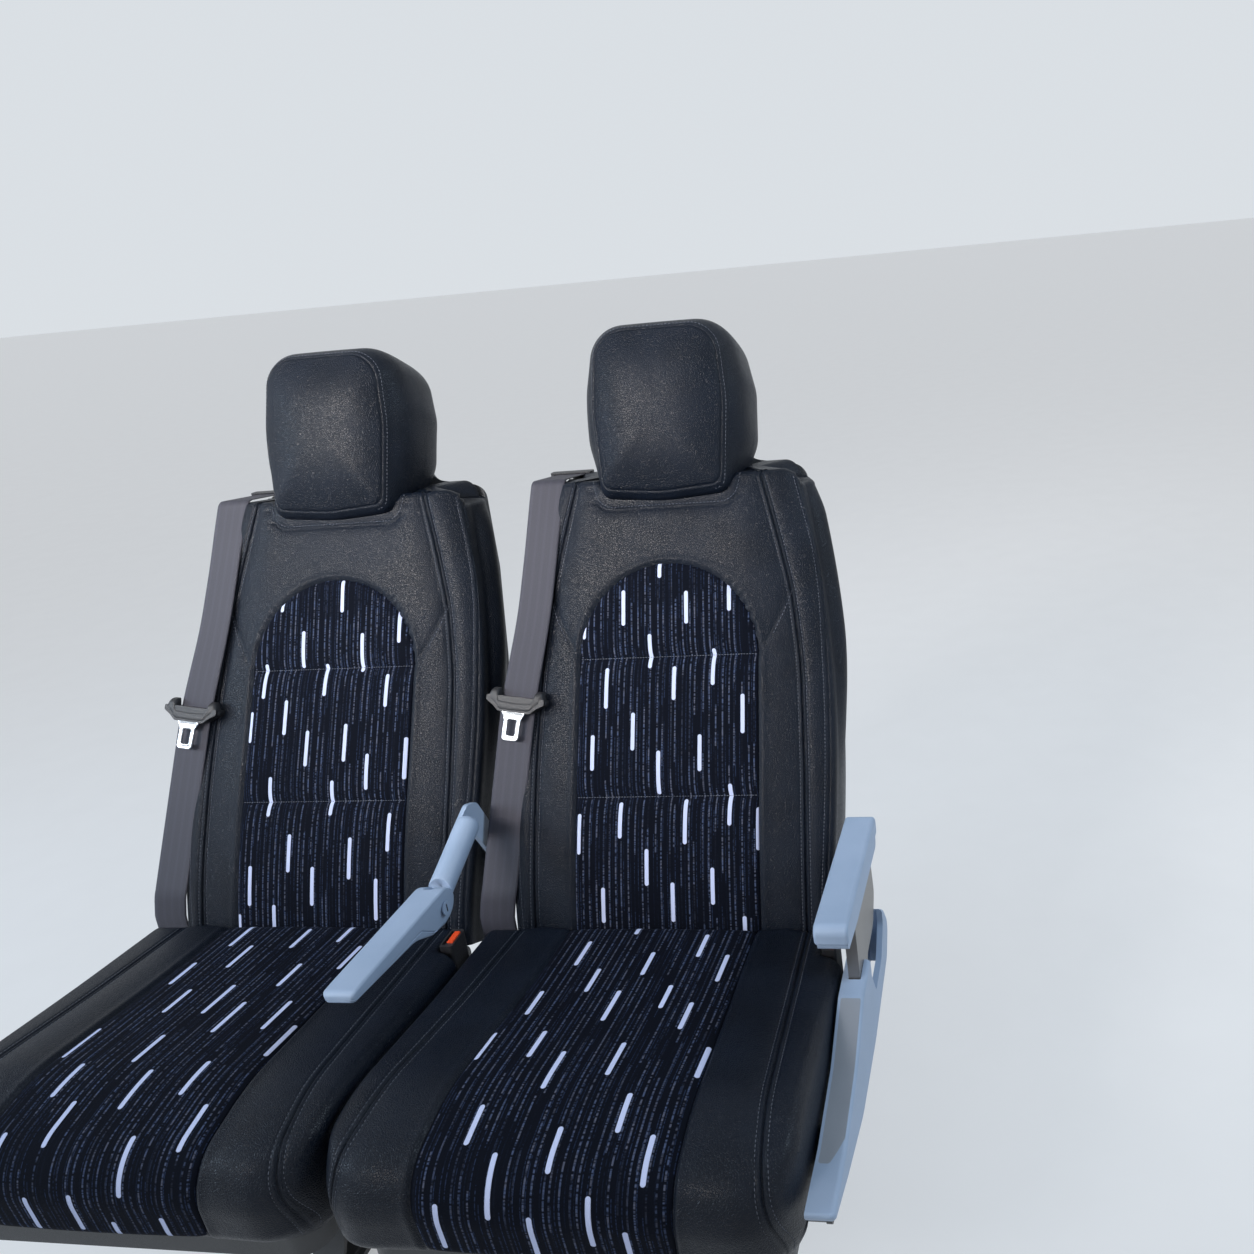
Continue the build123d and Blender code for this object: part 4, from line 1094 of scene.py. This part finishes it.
def buckle_step(x, y):
    """x moved inwards where the cushion stands beside the buckle."""
    inner = np.minimum(x, BUCKLE_SIDE + 0.02 * (x - BUCKLE_SIDE))
    share = smooth(y, -76.0, -68.0)
    return x + (inner - x) * share


for name, centre in SEATS.items():
    stepped = spread(buckle_step(grid_x, grid_y), grid_y)
    points = np.stack([stepped + centre, grid_y, grid_z], -1) / 1000
    cushion = new_piece("cushion_cover_" + name, points.transpose(1, 0, 2),
                        grid_faces(points.shape[1], points.shape[0], wrap=True), merge=1e-5)
    finish(cushion, leather, "frame")
    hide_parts("cushion_" + name)

# %% Insert panels of the cushions
def whole_run(index):
    """A run of rows that may pass the array's end, put in order by a roll at its gap."""
    step = np.diff(index)
    return np.roll(index, -int(np.argmax(step) + 1)) if np.any(step > 1) else index


shown = whole_run(np.where((rows_yz[:, 1] > 352) & (outward[:, 1] > -0.4) & (rows_yz[:, 0] < -14))[0])
fine_rows = resample(np.hstack([rows_yz, outward, insert_half[:, None]])[shown], 170)
t = np.linspace(-1, 1, 72)
t = 0.5 * np.sin(t * np.pi / 2) + 0.5 * t
cx = fine_rows[:, 4:] * t
inside = fine_rows[:, 4:] - np.abs(cx)
puff = 3.6 * (1 - np.exp(-inside / 4.5)) - 2.6 + 1.6 * np.cos(cx / 119 * np.pi / 2)
run = np.r_[0, np.cumsum(np.linalg.norm(np.diff(fine_rows[:, :2], axis=0), axis=1))][:, None]


def cushion_layer(lift):
    """Points of the insert at a height over the profile."""
    y = fine_rows[:, :1] + fine_rows[:, 2:3] * lift
    z = fine_rows[:, 1:2] + fine_rows[:, 3:4] * lift
    return y, z


for k, (name, centre) in enumerate(SEATS.items()):
    top, under = cushion_layer(puff), cushion_layer(-6.0 + 0 * cx)
    layers = [np.stack([spread(cx, y) + centre, y, z], -1) / 1000 for y, z in (top, under)]
    uv = np.stack([cx, -run + 0 * cx], -1) / 1000
    grid, faces, uv = shell_of(*layers, uv)
    panel = new_piece("cushion_insert_" + name, grid, faces, uv)
    finish(panel, insert_cloth("insert_cloth_seat_" + name, 9.0 + 5.0 * k), "frame")
    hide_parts("cushion_" + name)

# %% Stitching of the cushions
for name, centre in SEATS.items():
    rows = []
    facing_out = (outward[:, 1] > 0.2) | (outward[:, 0] < -0.3)
    index = whole_run(np.where((rows_yz[:, 1] > 352) & facing_out & (rows_yz[:, 0] < -20))[0])
    for side in (-1, 1):
        for step in (-STITCHES_AT, STITCHES_AT):
            x = seam_x[index] + step * welt_room(seam_x[index])
            lift = cushion_offset(x, seam_x[index], insert_half[index], upper[index, 0])
            pulled = corner_pull(x) * front_share[index]
            y = rows_yz[index, 0] + outward[index, 0] * lift + pulled
            z = rows_yz[index, 1] + outward[index, 1] * lift
            line = np.stack([spread(side * x, y) + centre, y, z], -1)
            out = np.column_stack([0 * x, outward[index]])
            rows.append(stitch_arrays(line, out))
    points, faces = join_rows(rows)
    line = new_piece("cushion_stitching_" + name, points / 1000, faces, merge=1e-8)
    finish(line, thread, "frame")

# %% [markdown]
# ## Belts
# The webbing comes out of its guide, lies over the shoulder, hangs down the front of the bolster
# and goes down behind the cushion to its anchor. It is a flat strip carried along a rounded
# path. The strip crosses the recline hinge and is attached to neither backrest nor frame.

# %% Belt path and strip
strap_along = np.array([640.0, 399.0, 282.0, 0.0])
strap_x = np.array([-164.0, -184.0, -203.0, -229.0])


def strap_middle(along):
    """The strap's middle across the back, softened over 60 mm."""
    shifts = np.linspace(-30, 30, 9)
    return np.mean([np.interp(-(along + s), -strap_along, strap_x) for s in shifts], axis=0)


def back_path_world(behind, along):
    """World y and z of a point of the backrest's frame."""
    p = from_back(np.zeros_like(behind), along, behind, 0.0) * 1000
    return p[..., 1:]


side_points = np.array([(85.0, shoulder_line(85.0) + 1.4), (9.0, shoulder_line(9.0) + 1.2),
                        (6.5, 470.0), (2.0, 340.0), (0.5, 282.0), (0.5, 40.0)])
yz = back_path_world(side_points[:, 0], side_points[:, 1])
yz = np.vstack([yz, [[14.0, 430.0], [14.0, 352.0]]])
path = resample(rounded(yz, [0, 11, 300, 300, 300, 60, 60, 0], closed=False), 220)
rel = path - [0, SEAT_LINE]
path_along = rel[:, 0] * np.sin(LEAN) + rel[:, 1] * np.cos(LEAN)
path_x = np.where(path_along > 30, strap_middle(path_along), 0)
low_x = np.interp(path[:, 1], [352, 436, 470], [-232.0, -232.0, strap_middle(np.array([40.0]))[0]])
path_x = np.where(path[:, 1] < 470, low_x, path_x)
run = np.r_[0, np.cumsum(np.linalg.norm(np.diff(path, axis=0), axis=1))]
tangent = unit(np.gradient(path, axis=0))
facing = np.column_stack([-tangent[:, 1], tangent[:, 0]])
facing = facing * np.where((facing @ np.array([-1.0, 0.6]))[:, None] < 0, -1, 1)
tilt = 0.06 * smooth(path_along, 300, 420) * smooth(-path_along, -560, -480)
STRAP_HALF, STRAP_THICK = 24.0, 1.6
across = np.linspace(-STRAP_HALF, STRAP_HALF, 17)
hem = np.array([0.5, 0.9, *([1.0] * 13), 0.9, 0.5]) * STRAP_THICK / 2
print("belt length shown:", round(float(run[-1])), "mm")


def strap_layer(sign, centre):
    """One face of the strip: path plus width, lifted by half its thickness."""
    lift = sign * hem[None] + (across[None] * tilt[:, None])
    y = path[:, :1] + facing[:, :1] * lift
    z = path[:, 1:] + facing[:, 1:] * lift
    x = path_x[:, None] + across[None] + centre
    return np.stack([x + 0 * y, y, z], -1) / 1000


for name, centre in SEATS.items():
    uv = np.stack([across[None] + 0 * run[:, None], run[:, None] + 0 * across[None]], -1) / 1000
    grid, faces, uv = shell_of(strap_layer(1, centre), strap_layer(-1, centre), uv)
    strap = new_piece("belt_webbing_" + name, grid, faces, uv)
    strap.data.materials.append(webbing)
    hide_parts("belt_" + name, "lower_belt_" + name)
    x = (centre - 229) / 1000
    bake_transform(strap)

# %% [markdown]
# ## Belt slider and latch tongue
# The slider is a winged bar: two lines, its upper and its lower edge, and a rounded section
# between them. It lies over the front of the CAD slider, which holds the webbing. The tongue is
# a pressed plate with an opening, lofted direction by direction from the outside inwards.

# %% Slider fronts and tongues
SLIDER_X, SLIDER_ALONG, SLIDER_HALF = -203.0, 282.0, 41.0


def on_strap(x, along, behind, centre):
    """Turns a shape drawn at the origin by 8 degrees and hangs it on the strap."""
    c, s_ = np.cos(np.radians(8.0)), np.sin(np.radians(8.0))
    turned_x, turned_along = SLIDER_X + x * c + along * s_, SLIDER_ALONG - x * s_ + along * c
    return from_back(turned_x, turned_along, behind + 0.5, centre)


wing_x = SLIDER_HALF * np.sin(np.linspace(-1, 1, 90) * np.pi / 2)
reach = np.abs(wing_x)
upper_line = (6.0 + 13.0 * smooth(reach, 22.5, 26.5) - 12.0 * smooth(reach, 33, SLIDER_HALF)
              - 1.5 * smooth(-reach, -20, 0))
lower_line = -12.0 + 13.0 * smooth(reach, 17, 40)
taper = np.sqrt(np.clip(1 - (reach / SLIDER_HALF) ** 8, 0, 1))
t = np.sin(np.linspace(-1, 1, 26) * np.pi / 2)[:, None]
slider_a = (upper_line + lower_line) / 2 + (upper_line - lower_line) / 2 * t
bulge = (11.0 * (1 - np.abs(t) ** 3.5) ** 0.6 + 0.6) * (0.25 + 0.75 * taper)
slider_x = wing_x[None] + 0 * t
tongue_centre = np.array([0.0, -31.0])


def tongue_radius(points, radii):
    """Radius of an outline in every direction from the opening's middle."""
    rel = resample(rounded(points, radii), 600, closed=True) - tongue_centre
    angle = np.arctan2(rel[:, 1], rel[:, 0]) % (2 * np.pi)
    order = np.argsort(angle)
    return np.interp(directions, angle[order], np.hypot(*rel[order].T), period=2 * np.pi)


tongue_out = tongue_radius(
    [(-18, -8), (-11.7, -20), (-11.7, -48), (11.7, -48), (11.7, -20), (18, -8)], [1, 8, 5, 5, 8, 1])
tongue_in = tongue_radius([(-6, -21), (-6, -41), (6, -41), (6, -21)], [2.5] * 4)
rim = tongue_out - tongue_in
loop = [(0.0, -9.0), (0.0, -10.2), (0.05, -11.3), (0.16, -11.8), (0.3, -11.6), (0.42, -11.0),
        (0.6, -11.0), (0.74, -11.6), (0.88, -11.8), (0.97, -11.2), (1.0, -10.2), (1.0, -9.0),
        (0.9, -8.6), (0.1, -8.6), (0.0, -9.0)]
tongue_r = np.array([tongue_out - rim * share for share, _ in loop])
tongue_b = np.array([b + 0 * directions for _, b in loop])
tongue_x = tongue_r * np.cos(directions)
tongue_a = tongue_centre[1] + tongue_r * np.sin(directions)
for name, centre in SEATS.items():
    front = on_strap(slider_x, slider_a, -1.4 - bulge, centre)
    rear = on_strap(slider_x, slider_a, -1.3 + 0 * bulge, centre)
    grid, faces, _ = shell_of(front, rear, np.zeros((*slider_a.shape, 2)))
    slider = new_piece("slider_front_" + name, grid, faces)
    finish(slider, black_plastic, "backrest_" + name)
    plate = new_piece("tongue_plate_" + name, on_strap(tongue_x, tongue_a, tongue_b, centre),
                      grid_faces(*tongue_r.shape, wrap=True))
    finish(plate, steel, "backrest_" + name)
    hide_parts("latch_tongue_" + name)

# %% [markdown]
# ## Centre armrest
# The bar is a row of sections from its front end to the round boss. Each section is a rounded
# box whose sides lean in towards the bottom, with a fine groove where the upper and the lower
# moulding meet. Its boss turns on a tongue that comes in from below and behind, so the slot for
# it lies out of sight and the bar can still fold upright.

# %% Sections of the centre armrest
PIVOT_Y, PIVOT_Z, BOSS, TUBE_Z = -103.0, 530.0, 23.0, 296.0
ARM_FRONT, ARM_X, ARM_HALF = -286.0, -4.0, 18.0
share = (1 - np.cos(np.linspace(0, 1, 120) * np.pi)) / 2
arm_y = ARM_FRONT + (PIVOT_Y + BOSS - 0.05 - ARM_FRONT) * share
into_boss = np.clip(arm_y - PIVOT_Y, 0, BOSS)
round_boss = np.sqrt(BOSS ** 2 - into_boss ** 2)
in_front = arm_y < PIVOT_Y
flat_top = PIVOT_Z + BOSS + 4.0 * np.clip((PIVOT_Y - arm_y) / 163.0, 0, 1)
top_z = np.where(in_front, flat_top, PIVOT_Z + round_boss)
under = rounded([(ARM_FRONT, 543), (-260, 540), (-165, 529), (-129, 511), (-103, 507)],
                [0, 20, 60, 16, 0], closed=False)
low_z = np.where(in_front, np.interp(arm_y, under[:, 0], under[:, 1]), PIVOT_Z - round_boss)
nose = 1 - np.sqrt(1 - np.clip((arm_y + 279.0) / -7.0, 0, 1) ** 2)
top_z, low_z = top_z - 5.0 * nose, low_z + 4.0 * nose
half = ARM_HALF - 5.0 * nose - 2.0 * (1 - np.sqrt(1 - (into_boss / (BOSS + 0.01)) ** 6))
height = top_z - low_z
edge = np.minimum(3.2, 0.3 * height)
split = np.interp(arm_y, [-306, -153, -125], [547, 534, 513])
split = np.clip(split, low_z + 1.3 * edge, top_z - 1.3 * edge)
groove = 0.9 * smooth(-arm_y, 121, 126)


def arm_section():
    """Right half of every section from the top's middle to the bottom's: (x, z) lists."""
    turn_ = np.linspace(0, 1, 6) * np.pi / 2
    xs = [half * 0.0, half * 0.45, half - edge * 1.6]
    zs = [top_z, top_z - 0.10, top_z - 0.45]
    for a_ in turn_:
        xs.append(half - edge + edge * np.sin(a_))
        zs.append(top_z - 0.6 - (edge - 0.6) * (1 - np.cos(a_)))
    for lift, dip in ((1.6, 0.0), (0.55, 0.0), (0.3, 1.0), (-0.3, 1.0), (-0.55, 0.0), (-1.6, 0.0)):
        step = lift * np.minimum(1, edge / 3.2)
        xs.append(half - groove * dip - 0.10 * (top_z - split - step))
        zs.append(split + step)
    lean_in = half - 0.10 * height - 0.4
    for a_ in turn_:
        xs.append(lean_in - edge * (1 - np.cos(a_)))
        zs.append(low_z + edge * (1 - np.sin(a_)))
    xs += [lean_in * 0.5, half * 0.0]
    zs += [low_z, low_z]
    return np.array(xs).T, np.array(zs).T


arm_x, arm_z = arm_section()
arm_grid = np.stack([np.hstack([arm_x, -arm_x[:, -2:0:-1]]) + ARM_X,
                     np.repeat(arm_y[:, None], 2 * arm_x.shape[1] - 2, axis=1),
                     np.hstack([arm_z, arm_z[:, -2:0:-1]])], -1)
caps = [np.repeat(g.mean(axis=0, keepdims=True), g.shape[0], axis=0)[None]
        for g in (arm_grid[0], arm_grid[-1])]
arm_grid = np.concatenate([caps[0], arm_grid, caps[1]]) / 1000
arm_bar = new_piece("centre_arm_bar", arm_grid, grid_faces(*arm_grid.shape[:2], wrap=True))


# %% Plates, and the slot in the boss
def plate(name, outline, low_x, high_x):
    """A flat plate: one outline in (y, z) at two x values, with one many-sided face on each."""
    n = len(outline)
    points = np.vstack([np.column_stack([np.full(n, x), outline]) for x in (low_x, high_x)]) / 1000
    i = np.arange(n)
    ring = np.column_stack([i, (i + 1) % n, n + (i + 1) % n, n + i]).tolist()
    mesh = bpy.data.meshes.new(name)
    mesh.from_pydata(points.tolist(), [], [*ring, i[::-1].tolist(), (n + i).tolist()])
    bm = bmesh.new()
    bm.from_mesh(mesh)
    bmesh.ops.recalc_face_normals(bm, faces=bm.faces)
    bm.to_mesh(mesh)
    bm.free()
    piece = bpy.data.objects.new(name, mesh)
    bpy.context.scene.collection.objects.link(piece)
    return piece


def cut(piece, cutter):
    """Takes the cutter's volume out of a piece and deletes the cutter."""
    modifier = piece.modifiers.new("cut", "BOOLEAN")
    modifier.object, modifier.operation, modifier.solver = cutter, "DIFFERENCE", "MANIFOLD"
    bpy.context.view_layer.update()
    cut_piece = piece.evaluated_get(bpy.context.evaluated_depsgraph_get())
    shape = bpy.data.meshes.new_from_object(cut_piece)
    piece.modifiers.clear()
    shape.materials.clear()
    piece.data = shape
    bpy.data.objects.remove(cutter)


slot_outline = np.array([[-121.0, 500.0], [-60.0, 500.0], [-60.0, 553.6], [-99.6, 553.6],
                         [-112.0, 545.0], [-121.0, 535.0]])
cut(arm_bar, plate("slot_cutter", slot_outline, ARM_X - 5.0, ARM_X + 5.0))
finish(arm_bar, silver, "centre_armrest")
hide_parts("centre_arm_cover", "centre_arm_shell")
# The screw's slot is a thin black plate: painted shade in the recess of a screw head.
screw_outline = np.array([[-103.8, 525.5], [-102.2, 525.5], [-102.2, 534.5], [-103.8, 534.5]])
screw_slot = plate("screw_slot", screw_outline, 15.0, 15.9)
finish(screw_slot, black_plastic, "centre_armrest")
print("armrest faces:", len(arm_bar.data.polygons))

# %% [markdown]
# ## Stalk
# A round bar carries the armrest. It is cut upright just behind the boss, so that the folded
# armrest passes it, and a lug below its foot carries the tongue. A blade behind it goes down
# between the backrests to the rear tube.

# %% Stalk, tongue and blade
rise_, STALK_R, REACH = np.radians(23.2), 14.8, 128.0
around = np.linspace(0, 2 * np.pi, 96, endpoint=False)
foot = (BOSS + 0.7 + STALK_R * np.cos(around) * np.sin(rise_)) / np.cos(rise_)
rings = [(foot, 0.0), (foot, STALK_R - 1.2), (foot + 0.35, STALK_R - 0.35), (foot + 1.2, STALK_R)]
rings += [(foot + (REACH - 12 - foot) * t, STALK_R) for t in np.linspace(0.05, 1, 24)]
rings += [(REACH - 12 + 12 * np.sin(a_) + 0 * foot, STALK_R - 12 * (1 - np.cos(a_)))
          for a_ in np.linspace(0.1, 1, 10) * np.pi / 2] + [(REACH + 0.2 + 0 * foot, 0.0)]
along_ = np.array([a_ for a_, _ in rings])
radius_ = np.array([r for _, r in rings])[:, None]
up_ = radius_ * np.cos(around)
tube = np.stack([radius_ * np.sin(around) + ARM_X,
                 PIVOT_Y + along_ * np.cos(rise_) - up_ * np.sin(rise_),
                 PIVOT_Z - 3.0 + along_ * np.sin(rise_) + up_ * np.cos(rise_)], -1) / 1000
stalk_bar = new_piece("stalk_bar", tube, grid_faces(*tube.shape[:2], wrap=True))
disc = np.linspace(np.radians(5), np.radians(285), 40)
lug_arm = rounded([(-92, 507), (-72, 505), (-62, 530), (-78, 534), (-79, 524)], [3, 5, 3, 1, 4],
                  closed=False)
lug = np.vstack([np.column_stack([PIVOT_Y + 15 * np.cos(disc), PIVOT_Z + 15 * np.sin(disc)]), lug_arm])
stalk_lug = plate("stalk_lug", lug, ARM_X - 4.0, ARM_X + 4.0)
end_y, end_z = PIVOT_Y + REACH * np.cos(rise_), PIVOT_Z - 3 + REACH * np.sin(rise_)
blade_line = rounded([
    (end_y - 30, end_z - 20), (end_y - 30, end_z - 6), (end_y + 14, end_z + 12),
    (end_y + 36, end_z + 4), (113, 465), (59, 338), (33, TUBE_Z - 14), (13, TUBE_Z - 10),
    (19, TUBE_Z + 10), (35, 348), (81, 465), (end_y + 8, end_z - 14)],
    [2, 2, 14, 18, 60, 30, 4, 1, 1, 30, 60, 20])
stalk_blade = plate("stalk_blade", blade_line, -18.0, -12.0)
tube_round = np.linspace(0, 2 * np.pi, 72, endpoint=False)
tube_outline = np.column_stack([5 + 20 * np.cos(tube_round), TUBE_Z + 20 * np.sin(tube_round)])
cut(stalk_blade, plate("tube_cutter", tube_outline, -30.0, 0.0))
for piece in (stalk_bar, stalk_lug, stalk_blade):
    finish(piece, silver, "frame")
    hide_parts("arm_stalk")
print("stalk ends at y, z", round(float(end_y), 1), round(float(end_z), 1))

# %% [markdown]
# ## Finishes for the CAD nodes
# The hard pieces keep their CAD shape. Each one gets its material in its own slots.

# %% Materials on the CAD nodes that stay
finishes = {
    "back_shell": shell_plastic, "belt_slider": black_plastic, "belt_guide": black_plastic,
    "buckle_button": red, "buckle_window": black_plastic, "buckle_aisle": black_plastic,
    "belt_anchor": painted, "recline_lugs": steel, "hinge_brackets": painted,
    "seat_pan": painted, "leg": painted, "front_tube": painted, "rear_tube": painted,
    "panel_brackets": painted, "side_panel_inset": slate, "side_panel": silver,
    "aisle_arm_post": fin_steel, "aisle_arm": silver, "centre_arm": silver,
}
for name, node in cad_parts.items():
    if node.hide_render:
        continue
    match = next(m for key, m in finishes.items() if name.startswith(key))
    for slot_ in node.material_slots:
        slot_.material = match
print("CAD nodes with a finish:", sum(not n.hide_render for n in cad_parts.values()))

# %% [markdown]
# ## Floor, backdrop and light
# A plain pale floor and sky stand round the seat. Light Path makes both a little brighter for
# the camera and for reflections than for the light that they send, so the background is pale,
# the lamps stay plain and the floor keeps the seat's shadow. A broad cool lamp on the left
# gives the bolsters their shine, a narrow one in front lights the headrests, and one on the
# right fills the gussets.

# %% Floor
def seen_directly(tree):
    """1 for camera, glossy and transmission rays, 0 for the rays that only carry light."""
    rays = add(tree, "LightPath")
    seen = calc(tree, "MAXIMUM", rays.outputs["Is Camera Ray"], rays.outputs["Is Glossy Ray"])
    return calc(tree, "MAXIMUM", seen, rays.outputs["Is Transmission Ray"])


FLOOR_HALF = 60.0
floor_x, floor_y = np.meshgrid([-FLOOR_HALF, FLOOR_HALF], [-FLOOR_HALF, FLOOR_HALF])
floor = new_piece("floor", np.stack([floor_x, floor_y, 0 * floor_x], -1), np.array([[0, 1, 3, 2]]))
paint = bpy.data.materials.new("floor_paint")
paint.use_nodes = True
tree = paint.node_tree
shader = tree.nodes["Principled BSDF"]
place = add(tree, "TexCoord").outputs["Object"]
speckle = add(tree, "TexNoise", {"Vector": place, "Scale": 9.0, "Detail": 4.0})
plain = mix_colour(tree, speckle.outputs["Fac"], (0.52, 0.525, 0.53), (0.56, 0.565, 0.57))
tree.links.new(plain, shader.inputs["Base Color"])
shader.inputs["Roughness"].default_value = 0.8
shader.inputs["Emission Color"].default_value = (0.95, 0.97, 1.0, 1.0)
glow = calc(tree, "MULTIPLY", seen_directly(tree), 0.36)
tree.links.new(glow, shader.inputs["Emission Strength"])
floor.data.materials.append(paint)

# %% World and lamps
world = bpy.data.worlds.new("studio")
world.use_nodes = True
bpy.context.scene.world = world
tree = world.node_tree
strength = calc(tree, "MULTIPLY_ADD", seen_directly(tree), 0.34, 0.44)
background = tree.nodes["Background"]
background.inputs["Color"].default_value = (0.90, 0.95, 1.0, 1.0)
tree.links.new(strength, background.inputs["Strength"])


def lamp(name, place, target, size, power, colour, spread=180.0):
    """A rectangular area lamp at place, turned so that its -Z axis points at target."""
    data = bpy.data.lights.new(name, "AREA")
    data.shape = "RECTANGLE"
    data.size, data.size_y = size
    data.energy = power
    data.color = colour
    data.spread = np.radians(spread)
    made = bpy.data.objects.new(name, data)
    way = unit(np.array(place) - np.array(target))
    side = unit(np.cross([0, 0, 1.0], way))
    axes = np.column_stack([side, np.cross(way, side), way])
    made.matrix_world = Matrix(axes.tolist()).to_4x4()
    made.location = place
    bpy.context.scene.collection.objects.link(made)


lamp("broad_left", (-2.4, -1.2, 1.7), (0, 0, 0.8), (1.2, 0.8), 34, (0.62, 0.80, 1.0))
lamp("narrow_front", (-0.95, -1.7, 1.9), (0, 0.3, 1.1), (1.3, 0.5), 9, (1.0, 0.95, 0.92), spread=50.0)
lamp("fill_right", (2.2, 0.2, 2.2), (0.2, 0.1, 0.9), (1.0, 0.8), 24, (0.66, 0.83, 1.0))
bpy.context.scene.view_settings.view_transform = "Standard"
